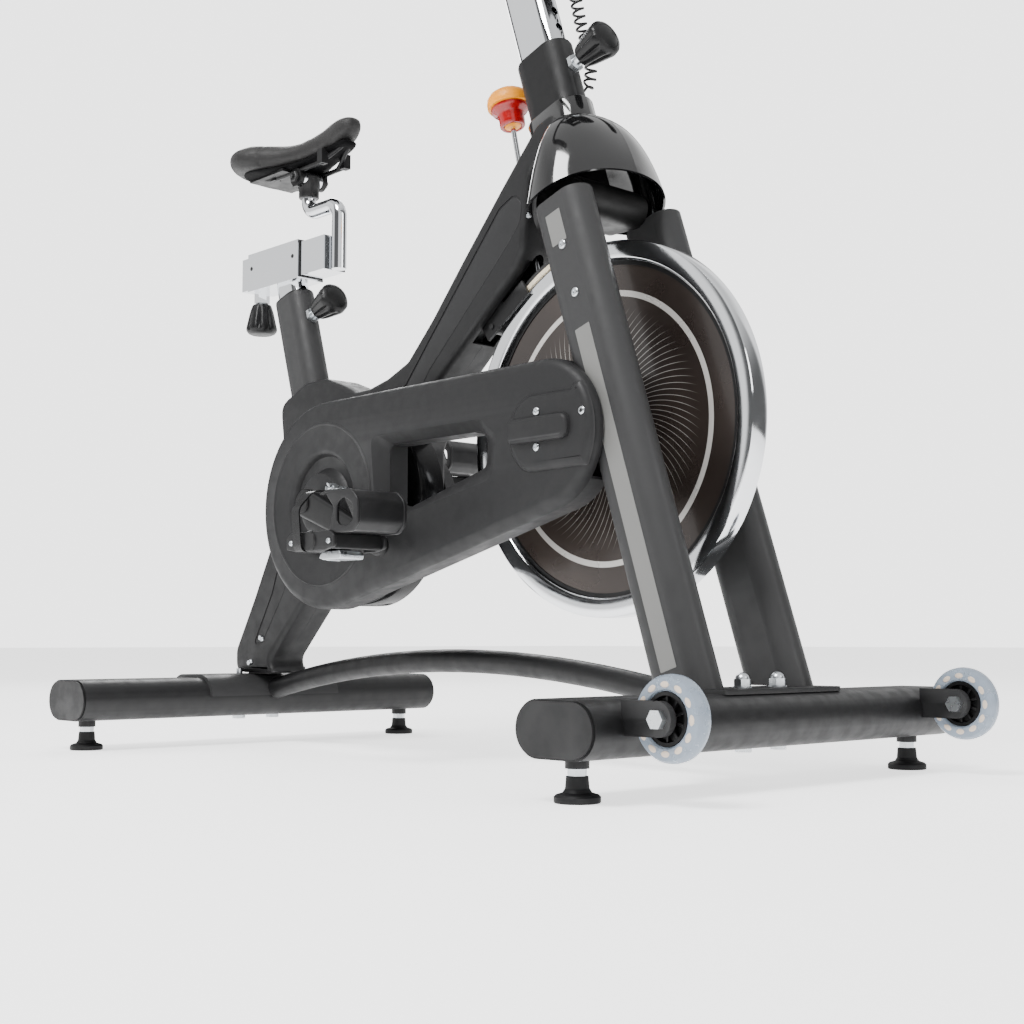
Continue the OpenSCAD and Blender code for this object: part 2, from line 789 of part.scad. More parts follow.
module seat_post() {
    color([0.85, 0.86, 0.88]) difference() {
        union() {
            leaning(seat_top, seat_lean) translate([0, 0, -170])
                oval_bar(seat_post_w, seat_post_t, 215);
            translate([carriage_rear, -carriage_t / 2, slider_z - carriage_h / 2])
                cube([carriage_front - carriage_rear, carriage_t, carriage_h]);
            translate([-491, 0, slider_z - carriage_h / 2 - 16]) hexagon(21, 17);
        }
        leaning(seat_top, seat_lean) translate([0, 0, -180])
            oval_bar(seat_post_w - 4, seat_post_t - 4, 204);
        translate([carriage_rear - 1, -carriage_t / 2 + carriage_wall,
            slider_z - carriage_h / 2 + carriage_wall])
            cube([carriage_front - carriage_rear + 2, carriage_t - 2 * carriage_wall,
                carriage_h - 2 * carriage_wall]);
        translate([-491, 0, 600]) cylinder(r = stem_radius + fit, h = 114);
        for (k = [0 : 5]) leaning(seat_top, seat_lean) translate([0, 0, -43.5 - 25 * k + 50])
            rotate([0, 90, 0]) cylinder(r = 5.5, h = 40);
    }
}

module slider_liner() {
    color([0.05, 0.05, 0.05]) for (x = [carriage_rear + 13, carriage_front - 24]) difference() {
        translate([x, -carriage_t / 2 + carriage_wall, slider_z - carriage_h / 2 + carriage_wall])
            cube([x > -450 ? 26 : 18, carriage_t - 2 * carriage_wall, carriage_h - 2 * carriage_wall]);
        translate([x - 1, -slider_t / 2 - fit, slider_z - slider_h / 2 - fit])
            cube([40, slider_t + 2 * fit, slider_h + 2 * fit]);
    }
}

// Quarter bend of the seat stem in the middle plane
module stem_bend(x, z, turn) {
    translate([x, 0, z]) rotate([90, 0, 0]) rotate([0, 0, turn]) rotate_extrude(angle = 90)
        translate([20, 0]) circle(r = stem_tube);
}

// Box slider with the bent stem welded to its front end
module seat_slider() {
    color([0.85, 0.86, 0.88]) difference() {
        union() {
            difference() {
                translate([slider_rear, -slider_t / 2, slider_z - slider_h / 2])
                    cube([slider_front - slider_rear, slider_t, slider_h]);
                translate([slider_rear - 1, -slider_t / 2 + 2.5, slider_z - slider_h / 2 + 2.5])
                    cube([slider_front - slider_rear - 3, slider_t - 5, slider_h - 5]);
            }
            translate([-287, 0, 712]) cylinder(r = stem_tube, h = 81);
            stem_bend(-307, 793, 0);
            translate([-346, 0, 813]) rotate([0, 90, 0]) cylinder(r = stem_tube, h = 39);
            stem_bend(-346, 833, 180);
            translate([-366, 0, 833]) cylinder(r = stem_tube, h = 25);
            y_rod(tilt_at, -17, 17, 13);
        }
        y_rod(tilt_at, -40, 40, 5 + fit);
    }
}

// Padded seat, a plain closed solid of the right size
module saddle_cushion() {
    color([0.1, 0.1, 0.1]) {
        hull() {
            for (s = [-1, 1]) translate([-465, s * 62, 905]) scale([1, 1, 0.8]) sphere(r = 30, $fn = 32);
            for (s = [-1, 1]) translate([-400, s * 28, 908]) scale([1, 1, 0.8]) sphere(r = 24, $fn = 32);
        }
        hull() {
            for (s = [-1, 1]) translate([-440, s * 40, 908]) scale([1, 1, 0.8]) sphere(r = 24, $fn = 32);
            translate([-262, 0, 924]) sphere(r = 20, $fn = 32);
        }
    }
}

// Seat pan, rails and the clamp ears that turn on the stem head
module saddle_base() {
    color([0.06, 0.06, 0.06]) {
        y_rod(tilt_at, -29, 29, 5);
        for (s = [-1, 1]) {
            difference() {
                y_rod(tilt_at, s > 0 ? 17.4 : -25, s > 0 ? 25 : -17.4, 14);
                y_rod(tilt_at, -40, 40, 4.9);
            }
            translate([-430, s * 21, 876]) rotate([0, 90, 0]) cylinder(r = 3.5, h = 130);
            translate([-366 - 8, s * 21 - 4, 870]) cube([16, 8, 8]);
            translate([-432, s * 21 - 6, 873]) cube([12, 12, 9]);
            translate([-308, s * 21 - 6, 873]) cube([12, 12, 22]);
        }
        translate([-470, -40, 876]) cube([90, 80, 4]);
    }
}

// ---------- knobs ----------

module seat_post_knob() {
    color([0.07, 0.07, 0.07]) leaning(seat_top, seat_lean) translate([seat_tube_w / 2, 0, -43.5])
        rotate([0, 90, 0]) pull_knob(seat_tube_w / 2 - seat_post_w / 2 - 0.4);
}

module slider_knob() {
    color([0.07, 0.07, 0.07]) translate([-491, 0, slider_z - carriage_h / 2 - 1]) rotate([180, 0, 0])
        pull_knob(4.6);
}

module bar_post_knob() {
    color([0.07, 0.07, 0.07]) leaning(head_top, lean) translate([head_w / 2, 0, -37.4])
        rotate([0, 90, 0]) pull_knob(head_w / 2 - bar_post_w / 2 - 0.4);
}

module pin_barrels() {
    color([0.75, 0.76, 0.78]) {
        leaning(seat_top, seat_lean) translate([seat_tube_w / 2 + 0.05, 0, -43.5]) rotate([0, 90, 0])
            pin_barrel(21, 15);
        leaning(head_top, lean) translate([head_w / 2 + 0.05, 0, -37.4]) rotate([0, 90, 0])
            pin_barrel(21, 15);
    }
}

// Plastic bushes between the posts and their tubes
module post_bush(w, t, tube_w, tube_t, h) {
    difference() {
        union() {
            translate([0, 0, -h]) oval_bar(tube_w - 0.1, tube_t - 0.1, h);
            oval_bar(tube_w + 4, tube_t + 4, 2.5);
        }
        translate([0, 0, -h - 1]) oval_bar(w + 2 * fit, t + 2 * fit, h + 5);
        for (k = [0 : 1]) translate([0, 0, -20 - 20 * k]) rotate([0, 90, 0])
            cylinder(r = stem_radius + 3, h = 60);
        translate([0, 0, -40]) rotate([0, 90, 0]) cylinder(r = stem_radius + 6, h = 60);
    }
}

module post_bushes() {
    color([0.05, 0.05, 0.05]) {
        leaning(seat_top, seat_lean) translate([0, 0, 0.1])
            post_bush(seat_post_w, seat_post_t, seat_tube_w - 2 * seat_wall,
                seat_tube_t - 2 * seat_wall, 75);
        leaning(head_top, lean) translate([0, 0, 0.1])
            post_bush(bar_post_w, bar_post_t, head_w - 2 * head_wall, head_t - 2 * head_wall, 75);
    }
}

// ---------- brake ----------

module brake_bracket() {
    color([0.06, 0.06, 0.06]) {
        for (s = [-1, 1]) difference() {
            y_slab(s > 0 ? 14.5 : -18.5, s > 0 ? 18.5 : -14.5) union() {
                translate(brake_pivot) rotate(34) translate([-16, -11]) square([92, 22]);
                translate(brake_pivot) rotate(34) translate([-16, 0]) square([50, 34]);
            }
            translate([beam_foot[0], 0, beam_foot[1]]) rotate([0, beam_turn, 0])
                oval_bar(beam_w + 2 * fit, beam_t + 2 * fit, 600);
            y_rod(brake_pivot, -60, 60, 3.9);
        }
        y_rod(brake_pivot, -20, 20, 4);
    }
}

// Band of a circle round the flywheel axle between two angles
module band(r0, r1, a0, a1) {
    translate([axle[0], axle[2]]) difference() {
        intersection() {
            circle(r = r1, $fn = 180);
            polygon([[0, 0], [300 * cos(a0), 300 * sin(a0)],
                [320 * cos((a0 + a1) / 2), 320 * sin((a0 + a1) / 2)], [300 * cos(a1), 300 * sin(a1)]]);
        }
        circle(r = r0, $fn = 180);
    }
}

module brake_arm() {
    color([0.08, 0.08, 0.08]) difference() {
        union() {
            y_slab(-12, 12) band(pad_outer, band_outer, 108, 140);
            y_rod(brake_pivot, -12, 12, 9);
        }
        y_rod(brake_pivot, -60, 60, 4 + fit);
    }
}

module brake_pad() {
    color([0.82, 0.76, 0.62]) y_slab(-13, 13) band(pad_inner, pad_outer, 108, 131);
}

module resistance_rod() {
    color([0.8, 0.81, 0.83]) leaning(rod_top, rod_lean) translate([0, 0, -rod_length])
        cylinder(r = rod_radius, h = rod_length + 26);
}

module resistance_knob() {
    color([0.75, 0.1, 0.08]) leaning(rod_top, rod_lean) difference() {
        rotate_extrude() polygon([[0, 0], [14, 0], [17, 2], [19.5, 8], [20.5, 18], [24, 21], [28, 27],
            [29.5, 35], [29, 42], [25, 49], [15, 52.5], [0, 53.5]]);
        translate([0, 0, -1]) cylinder(r = rod_radius + fit, h = 29);
    }
}

// ---------- handlebar ----------

module bar_post() {
    color([0.85, 0.86, 0.88]) difference() {
        leaning(head_top, lean) translate([0, 0, -bar_post_down])
            oval_tube(bar_post_w, bar_post_t, 2.5, bar_post_down + bar_post_up);
        for (k = [0 : 9]) leaning(head_top, lean) translate([0, 0, 125 - 25 * k])
            rotate([0, 90, 0]) cylinder(r = 5.5, h = 60);
    }
}

bar_radius = 14;
bar_z = bar_post_up + 12;
module x_rod(x0, x1, y, z, r) {
    translate([x0, y, z]) rotate([0, 90, 0]) cylinder(r = r, h = x1 - x0);
}

module handlebar() {
    top = [head_top[0] - bar_z * sin(lean), head_top[1] + bar_z * cos(lean)];
    color([0.06, 0.06, 0.06]) {
        leaning(head_top, lean) translate([0, 0, bar_post_up]) oval_bar(bar_post_w + 2, bar_post_t + 2, 8);
        y_rod([top[0], top[1] + 6], -190, 190, bar_radius);
        for (s = [-1, 1]) {
            translate([top[0] + 40, s * 190, top[1] + 6]) rotate([0, 0, s > 0 ? 90 : 180])
                rotate_extrude(angle = 90) translate([40, 0]) circle(r = bar_radius);
            x_rod(top[0] + 40, top[0] + 190, s * 230, top[1] + 6, bar_radius + 2);
            translate([top[0] + 190, s * 230, top[1] + 6]) sphere(r = bar_radius + 2);
            x_rod(top[0], top[0] + 150, s * 55, top[1] + 6, bar_radius);
        }
        y_rod([top[0] + 150, top[1] + 6], -55, 55, bar_radius);
        for (s = [-1, 1]) translate([top[0] + 150, s * 55, top[1] + 6]) sphere(r = bar_radius);
    }
}

// Display box on a bracket that clamps over the two inner bars
console_x = 75;
module console() {
    top = [head_top[0] - bar_z * sin(lean), head_top[1] + bar_z * cos(lean) + 6];
    color([0.05, 0.05, 0.06]) {
        translate([top[0] + console_x, 0, top[1] + 42]) rotate([0, -25, 0]) difference() {
            translate([-45, -60, -8]) cube([90, 120, 22]);
            translate([-30, -45, 12]) cube([60, 90, 4]);
        }
        translate([top[0] + console_x, 0, top[1] + 10]) cylinder(r = 12, h = 30);
        difference() {
            translate([top[0] + console_x - 15, -68, top[1] + 6]) cube([30, 136, 12]);
            for (s = [-1, 1]) x_rod(top[0], top[0] + 150, s * 55, top[1], bar_radius + fit);
        }
    }
}

// Coiled lead between the console and the socket on the head tube, drawn at its outer diameter
cord_radius = 8.5;
cord_way = [[188, 33.1, 868], [188, 40, 868], [190, 48, 880], [193, 48, 900], [196, 40, 925],
    [195, 29, 950], [194, 21, 980], [191, 14, 1010], [186, 7, 1040], [177.3, 0, 1066], [177.3, 0, 1091]];
cord_sides = 10;
module console_cord() {
    n = len(cord_way);
    way = function (i) cord_way[max(0, min(n - 1, i))];
    dir = function (i) let (d = way(i + 1) - way(i - 1)) d / norm(d);
    side = function (i) let (c = cross(dir(i), [1, 0, 0])) c / norm(c);
    points = [for (i = [0 : n - 1], k = [0 : cord_sides - 1])
        let (a = 360 * k / cord_sides, u = side(i), v = cross(dir(i), u))
        way(i) + cord_radius * (cos(a) * u + sin(a) * v)];
    walls = [for (i = [0 : n - 2], k = [0 : cord_sides - 1])
        let (k2 = (k + 1) % cord_sides, a = i * cord_sides, b = a + cord_sides)
        for (f = [[a + k, b + k, b + k2], [a + k, b + k2, a + k2]]) f];
    ends = [[for (k = [0 : cord_sides - 1]) k],
        [for (k = [cord_sides - 1 : -1 : 0]) (n - 1) * cord_sides + k]];
    color([0.04, 0.04, 0.04]) polyhedron(points, concat(walls, ends));
}

// ---------- placing ----------

module placed() {
    translate([base_shift, 0, 0]) children();
}

placed() rear_stabilizer();
placed() front_stabilizer();
placed() rear_base_plate();
placed() front_base_plate();
placed() frame_bolts();
placed() belly_tube();
placed() rear_leg();
placed() main_beam();
placed() seat_tube();
placed() head_tube();
placed() fork_leg(-1);  // fork_leg_right
placed() fork_leg(1);  // fork_leg_left
placed() bottom_bracket();
placed() bearings();
placed() body_cover_right();
placed() body_cover_left();
placed() head_shroud(-1);  // head_shroud_right
placed() head_shroud(1);  // head_shroud_left
placed() belt_guard_outer();
placed() belt_guard_inner();
placed() crank_cover_left();
placed() cover_screws();
placed() drive_belt();
placed() post_bushes();
placed() pin_barrels();
placed() brake_bracket();
placed() flywheel_rim();
placed() flywheel_disc();
placed() flywheel_axle();
placed() driven_pulley();
placed() crank_axle();
placed() drive_pulley();
placed() crank_arm(pedal_right_at, -1, crank_drop);  // crank_arm_right
placed() crank_arm(pedal_left_at, 1, 180 + crank_drop);  // crank_arm_left
placed() pedal(pedal_right_at, -1);  // pedal_right
placed() toe_cage(pedal_right_at, -1);  // toe_cage_right
placed() pedal(pedal_left_at, 1);  // pedal_left
placed() toe_cage(pedal_left_at, 1);  // toe_cage_left
placed() transport_wheel(-1);  // transport_wheel_right
placed() transport_wheel(1);  // transport_wheel_left
placed() seat_post();
placed() slider_liner();
placed() seat_slider();
placed() saddle_cushion();
placed() saddle_base();
placed() seat_post_knob();
placed() slider_knob();
placed() bar_post_knob();
placed() resistance_rod();
placed() resistance_knob();
placed() brake_arm();
placed() brake_pad();
placed() bar_post();
placed() handlebar();
placed() console();
placed() console_cord();
placed() foot(-foot_reach, -1);  // foot_rear_right
placed() foot(-foot_reach, 1);  // foot_rear_left
placed() foot(foot_reach, -1);  // foot_front_right
placed() foot(foot_reach, 1);  // foot_front_left
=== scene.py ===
"""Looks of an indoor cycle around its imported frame. Lengths are millimetres unless named metres."""
import math

import bmesh
import bpy
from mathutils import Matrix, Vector
from mathutils.geometry import tessellate_polygon


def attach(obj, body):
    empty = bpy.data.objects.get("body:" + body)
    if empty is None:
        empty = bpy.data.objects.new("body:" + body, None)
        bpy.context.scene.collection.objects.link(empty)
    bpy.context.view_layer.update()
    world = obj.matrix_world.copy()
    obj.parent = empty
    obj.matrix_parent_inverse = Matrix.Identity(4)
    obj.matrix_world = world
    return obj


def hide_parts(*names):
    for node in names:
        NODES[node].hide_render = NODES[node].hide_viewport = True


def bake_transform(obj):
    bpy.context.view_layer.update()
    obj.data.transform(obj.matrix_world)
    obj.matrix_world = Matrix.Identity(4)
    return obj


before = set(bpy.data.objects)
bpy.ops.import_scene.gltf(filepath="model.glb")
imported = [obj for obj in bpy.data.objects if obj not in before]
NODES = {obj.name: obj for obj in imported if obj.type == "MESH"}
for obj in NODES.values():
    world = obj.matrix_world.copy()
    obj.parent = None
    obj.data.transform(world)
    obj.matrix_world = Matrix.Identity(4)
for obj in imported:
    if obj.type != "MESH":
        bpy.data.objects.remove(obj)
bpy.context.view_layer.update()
SCENE = bpy.context.scene
MM = 0.001

# The shape is drawn from the middle of the base, which lies this far ahead of the row's origin
BASE_SHIFT = -40.0
AXLE = (268.7, 413.1)
CRANK = (-161.0, 341.5)
CRANK_LENGTH, CRANK_DROP = 170.0, math.radians(22)
LEAN, SEAT_LEAN, ROD_LEAN = math.radians(18), math.radians(17), math.radians(12.86)
HEAD_TOP, SEAT_TOP, ROD_TOP = (157.0, 911.0), (-400.5, 683.0), (96.0, 834.0)
LEG_FOOT = (459.0, 104.0)
COLLAR_LOW = -124.0
LEG_SIDE, LEG_THICK = 80.0, 46.0


def at(x, y, z):
    """A place of the drawing, in the row frame."""
    return Vector(((x + BASE_SHIFT) * MM, y * MM, z * MM))


def leaning(origin, angle, u, y, w):
    """A place u ahead of, y beside and w up a line that leans back from origin."""
    x = origin[0] + u * math.cos(angle) - w * math.sin(angle)
    return x, y, origin[1] + u * math.sin(angle) + w * math.cos(angle)


# ---------- camera ----------

CAMERA_AT = at(1541.5, -1353.0, 156.1)
CAMERA_AZIMUTH, CAMERA_PITCH = math.radians(46.934), math.radians(4.799)
LOOK = Vector((-math.sin(CAMERA_AZIMUTH) * math.cos(CAMERA_PITCH),
               math.cos(CAMERA_AZIMUTH) * math.cos(CAMERA_PITCH), math.sin(CAMERA_PITCH)))
camera_data = bpy.data.cameras.new("camera")
camera_data.lens = 53.79
camera_data.sensor_width = 36.0
camera_data.clip_end = 50.0
camera = bpy.data.objects.new("camera", camera_data)
camera.location = CAMERA_AT
camera.rotation_euler = LOOK.to_track_quat("-Z", "Y").to_euler()
SCENE.collection.objects.link(camera)
SCENE.camera = camera


# ---------- materials ----------

def linear(value):
    """A screen grey from 0 to 255 as linear light."""
    c = value / 255
    return c / 12.92 if c <= 0.04045 else ((c + 0.055) / 1.055) ** 2.4


def rgb(r, g, b):
    """A screen colour as linear light."""
    return (linear(r), linear(g), linear(b), 1.0)


class Surface:
    """A material with cloudy colour, uneven gloss and a fine raised grain, all in object space."""

    def __init__(self, name, color, rough=0.5, metal=0.0, tint=0.12, cloud=14.0, grain=900.0,
                 lift=0.15, depth=0.0002, rough_spread=0.08, edge=0.0, **sockets):
        self.material = bpy.data.materials.new(name)
        self.material.use_nodes = True
        self.material.diffuse_color = color
        tree = self.tree = self.material.node_tree
        tree.nodes.clear()
        self.shader = tree.nodes.new("ShaderNodeBsdfPrincipled")
        self.join(self.shader.outputs[0], tree.nodes.new("ShaderNodeOutputMaterial").inputs[0])
        self.shader.inputs["Metallic"].default_value = metal
        for key, value in sockets.items():
            self.shader.inputs[key.replace("_", " ")].default_value = value
        self.coords = tree.nodes.new("ShaderNodeTexCoord").outputs["Object"]
        low = tuple(c * (1 - tint) for c in color[:3]) + (1,)
        high = tuple(min(1, c * (1 + tint)) for c in color[:3]) + (1,)
        self.color = self.mix(self.noise(cloud, 4), low, high)
        # Painted highlight: convex edges, found by pointiness, get a lighter colour as if they caught
        # the light
        if edge:
            painted_edge_highlight = self.ramp(self.node("ShaderNodeNewGeometry").outputs["Pointiness"], 0.53, 0.62)
            highlight_color = tuple(min(1, c * 1.9 + edge * 0.05) for c in color[:3]) + (1,)
            self.color = self.mix(self.maths("MULTIPLY", painted_edge_highlight, edge), self.color, highlight_color)
        self.set_color(self.color)
        self.spread(self.noise(cloud * 3.7, 3), rough - rough_spread, rough + rough_spread)
        self.bump(self.noise(grain, 2), lift, depth)

    def node(self, kind):
        return self.tree.nodes.new(kind)

    def join(self, a, b):
        self.tree.links.new(a, b)

    def feed(self, socket, value):
        if isinstance(value, bpy.types.NodeSocket):
            self.join(value, socket)
        else:
            socket.default_value = value

    def noise(self, scale, detail, coords=None):
        n = self.node("ShaderNodeTexNoise")
        n.inputs["Scale"].default_value = scale
        n.inputs["Detail"].default_value = detail
        self.join(coords or self.coords, n.inputs["Vector"])
        return n.outputs["Fac"]

    def mix(self, factor, a, b):
        n = self.node("ShaderNodeMix")
        n.data_type = "RGBA"
        self.feed(n.inputs[0], factor)
        self.feed(n.inputs[6], a)
        self.feed(n.inputs[7], b)
        return n.outputs[2]

    def maths(self, operation, a, b=0.0, c=0.0):
        n = self.node("ShaderNodeMath")
        n.operation = operation
        for socket, value in zip(n.inputs, (a, b, c)):
            self.feed(socket, value)
        return n.outputs[0]

    def ramp(self, value, low, high, to_low=0.0, to_high=1.0):
        n = self.node("ShaderNodeMapRange")
        n.interpolation_type = "SMOOTHSTEP"
        for socket, v in zip(n.inputs, (value, low, high, to_low, to_high)):
            self.feed(socket, v)
        return n.outputs[0]

    def spread(self, factor, low, high):
        self.join(self.ramp(factor, 0.3, 0.7, max(0.02, low), min(1.0, high)),
                  self.shader.inputs["Roughness"])

    def set_color(self, socket):
        self.color = socket
        for link in list(self.shader.inputs["Base Color"].links):
            self.tree.links.remove(link)
        self.join(socket, self.shader.inputs["Base Color"])

    def bump(self, height, strength, distance):
        n = self.node("ShaderNodeBump")
        n.inputs["Strength"].default_value = strength
        n.inputs["Distance"].default_value = distance
        self.join(height, n.inputs["Height"])
        old = [link.from_socket for link in self.shader.inputs["Normal"].links]
        if old:
            self.join(old[0], n.inputs["Normal"])
        self.join(n.outputs[0], self.shader.inputs["Normal"])

    def polar(self, centre):
        """Distance in millimetres and angle of a point around a Y axis through centre."""
        move = self.node("ShaderNodeVectorMath")
        move.operation = "SUBTRACT"
        self.join(self.coords, move.inputs[0])
        move.inputs[1].default_value = centre
        split = self.node("ShaderNodeSeparateXYZ")
        self.join(move.outputs[0], split.inputs[0])
        x, z = split.outputs[0], split.outputs[2]
        squares = self.maths("ADD", self.maths("MULTIPLY", x, x), self.maths("MULTIPLY", z, z))
        radius = self.maths("MULTIPLY", self.maths("SQRT", squares), 1000.0)
        return radius, self.maths("ARCTAN2", z, x)


def paint(name, grey, rough, **more):
    """Dark paint or plastic of one screen grey."""
    more.setdefault("Specular_IOR_Level", 0.28)
    return Surface(name, rgb(grey, grey, grey + 1), rough, **more)


FRAME_PAINT = paint("frame_paint", 15, 0.5, grain=1500, lift=0.22, edge=0.6, Coat_Weight=0.08)
FORK_PAINT = paint("fork_paint", 15, 0.52, grain=1500, lift=0.22, edge=0.6, Coat_Weight=0.05)
BASE_PAINT = paint("base_paint", 17, 0.5, grain=1400, lift=0.25, edge=0.6, Coat_Weight=0.05)
COVER = paint("cover_plastic", 22, 0.5, grain=1900, lift=0.3, depth=0.00012, edge=0.5)
COVER_PANEL = paint("cover_panel", 31, 0.45, grain=1900, lift=0.2, depth=0.0001)
GUARD = paint("guard_plastic", 25, 0.52, grain=1900, lift=0.3, depth=0.00012, edge=0.5)
GUARD_WALL = paint("guard_wall", 18, 0.16, grain=500, lift=0.03)
HOOD = paint("hood_gloss", 12, 0.1, grain=300, lift=0.01, rough_spread=0.03,
             Specular_IOR_Level=0.5, Coat_Weight=0.6, Coat_Roughness=0.04)
CHROME = Surface("chrome", rgb(225, 227, 230), 0.07, 1.0, tint=0.03, grain=60, lift=0.0,
                 rough_spread=0.03)
RIM = Surface("turned_rim", rgb(226, 228, 231), 0.1, 1.0, tint=0.02, grain=60, lift=0.0,
              rough_spread=0.03)
ZINC = Surface("zinc", rgb(200, 204, 207), 0.3, 1.0, tint=0.06, cloud=25, grain=400, lift=0.0,
               rough_spread=0.04)
STEEL = Surface("steel", rgb(170, 171, 173), 0.3, 1.0, tint=0.1, cloud=60, grain=1400, lift=0.12)
PULLEY = Surface("pulley_alloy", rgb(120, 121, 124), 0.35, 1.0, tint=0.1, grain=1200)
BLACK_STEEL = paint("black_steel", 12, 0.38, grain=1300, lift=0.2, edge=0.7)
NYLON = paint("nylon", 9, 0.42, grain=1100, lift=0.18)
KNOB = paint("knob_plastic", 14, 0.36, grain=900, lift=0.12, rough_spread=0.06)
PEDAL = paint("pedal_nylon", 20, 0.4, grain=1300, lift=0.2)
CAGE = paint("cage_nylon", 24, 0.42, grain=1300, lift=0.25)
STRAP = paint("strap", 14, 0.28, grain=700, lift=0.25)
RUBBER = paint("foot_rubber", 18, 0.62, grain=800, lift=0.3)
BELT = paint("belt_rubber", 16, 0.6, grain=900, lift=0.3)
CORD = paint("cord_jacket", 12, 0.36, grain=700, lift=0.1)
RED = Surface("red_plastic", rgb(150, 0, 4), 0.24, tint=0.1, grain=500, lift=0.03,
              Coat_Weight=0.3)
YELLOW = Surface("yellow_plastic", rgb(236, 148, 0), 0.42, tint=0.08, cloud=60, grain=500,
                 lift=0.2)
LABEL = Surface("label_foil", rgb(112, 112, 110), 0.4, 0.2, tint=0.05, grain=1200, lift=0.06)
TYRE = Surface("clear_tyre", rgb(150, 162, 176), 0.22, tint=0.05, cloud=30, grain=400, lift=0.03,
               Transmission_Weight=0.3, IOR=1.3)
TYRE_POCKET = Surface("tyre_pocket", rgb(206, 190, 174), 0.5, tint=0.08, cloud=60)
FOAM = paint("grip_foam", 18, 0.75, grain=420, lift=0.6, depth=0.0006)
CASE = paint("console_case", 18, 0.3, grain=1300, lift=0.15)
SCREEN = Surface("display", rgb(128, 140, 126), 0.12, tint=0.05, grain=300, lift=0.0)
INK = paint("display_ink", 22, 0.3)
FELT = Surface("felt", rgb(226, 212, 184), 0.9, tint=0.12, cloud=120, grain=2600, lift=0.7,
               depth=0.0006, Sheen_Weight=0.4)
PAN = paint("pan_nylon", 4, 0.7, grain=1600, lift=0.15, Specular_IOR_Level=0.08)


def vinyl():
    """Soft vinyl: pebbled cells with fine creases between them."""
    s = Surface("saddle_vinyl", rgb(16, 15, 15), 0.5, tint=0.1, cloud=30, grain=2400, lift=0.12,
                Sheen_Weight=0.08, Specular_IOR_Level=0.35)
    cells = s.node("ShaderNodeTexVoronoi")
    cells.feature = "DISTANCE_TO_EDGE"
    cells.inputs["Scale"].default_value = 620
    s.join(s.coords, cells.inputs["Vector"])
    s.bump(s.ramp(cells.outputs["Distance"], 0.0, 0.22), 0.35, 0.0003)
    return s


def turned(s, centre, pitch, strength):
    """Adds the fine rings that a lathe tool leaves round centre."""
    radius, _ = s.polar(centre)
    wave = s.maths("SINE", s.maths("MULTIPLY", radius, 2 * math.pi / pitch))
    s.bump(wave, strength, 0.00003)


def wheel_face():
    """Bronze-black lacquer with a pale ring and fine swept rays around the axle."""
    s = Surface("wheel_face", rgb(45, 38, 35), 0.3, 0.6, tint=0.22, cloud=5, grain=1500,
                lift=0.05, rough_spread=0.05, Coat_Weight=0.5, Coat_Roughness=0.12)
    radius, angle = s.polar(at(AXLE[0], 0, AXLE[1]))
    rays, bend = 90.0, 0.0042
    turn = s.maths("ADD", angle, s.maths("MULTIPLY", radius, bend))
    phase = s.maths("FRACT", s.maths("MULTIPLY", turn, rays / (2 * math.pi)))
    off = s.maths("ABSOLUTE", s.maths("SUBTRACT", phase, 0.5))
    gap = s.maths("DIVIDE", off, s.maths("DIVIDE", rays / (2 * math.pi), radius))
    line = s.ramp(gap, 0.2, 0.5, 1.0, 0.0)
    inside = s.maths("MULTIPLY", s.ramp(radius, 46.0, 66.0), s.ramp(radius, 118.0, 152.0, 1.0, 0.0))
    rays_mask = s.maths("MULTIPLY", s.maths("MULTIPLY", line, inside), 0.8)
    ring = s.maths("MULTIPLY", s.ramp(radius, 161.5, 162.3), s.ramp(radius, 168.7, 169.5, 1.0, 0.0))
    pale = (0.62, 0.6, 0.57, 1)
    warm = s.mix(s.ramp(s.noise(3.2, 2), 0.35, 0.7), s.color, rgb(72, 63, 58))
    s.set_color(s.mix(ring, s.mix(rays_mask, warm, pale), pale))
    turned(s, at(AXLE[0], 0, AXLE[1]), 0.8, 0.15)
    return s


VINYL, WHEEL_FACE = vinyl(), wheel_face()
turned(RIM, at(AXLE[0], 0, AXLE[1]), 0.9, 0.12)


def coat(obj, surface):
    obj.data.materials.clear()
    obj.data.materials.append(surface.material)


# ---------- mesh helpers ----------

def shade(mesh, sharp=35):
    """Smooth shading, except over edges sharper than an angle in degrees."""
    mesh.polygons.foreach_set("use_smooth", [True] * len(mesh.polygons))
    mesh.set_sharp_from_angle(angle=math.radians(sharp))


def apply_modifiers(obj):
    bpy.context.view_layer.update()
    shown = obj.evaluated_get(bpy.context.evaluated_depsgraph_get())
    mesh = bpy.data.meshes.new_from_object(shown)
    obj.modifiers.clear()
    obj.data = mesh


def ring_faces(rows, n):
    """Faces between closed rings of n vertices, each ring after the one before."""
    return [(i * n + k, i * n + (k + 1) % n, (i + 1) * n + (k + 1) % n, (i + 1) * n + k)
            for i in range(rows - 1) for k in range(n)]


def closed_faces(rows, n):
    """The same, with a face over the first ring and one over the last."""
    return ring_faces(rows, n) + [tuple(range(n)), tuple(range((rows - 1) * n, rows * n))]


def carried(side, d):
    """A direction square to d, turned as little as possible from the last one."""
    if side is None:
        return d.orthogonal().normalized()
    return (side - d * side.dot(d)).normalized()


def make(name, verts, faces, surface, body, slot=None, sharp=35, replaces=()):
    """A mesh object from places in millimetres of the drawing, riding on a body."""
    mesh = bpy.data.meshes.new(name)
    mesh.from_pydata([at(*v) for v in verts], [], faces)
    return finish_mesh(name, mesh, surface, body, sharp, replaces)


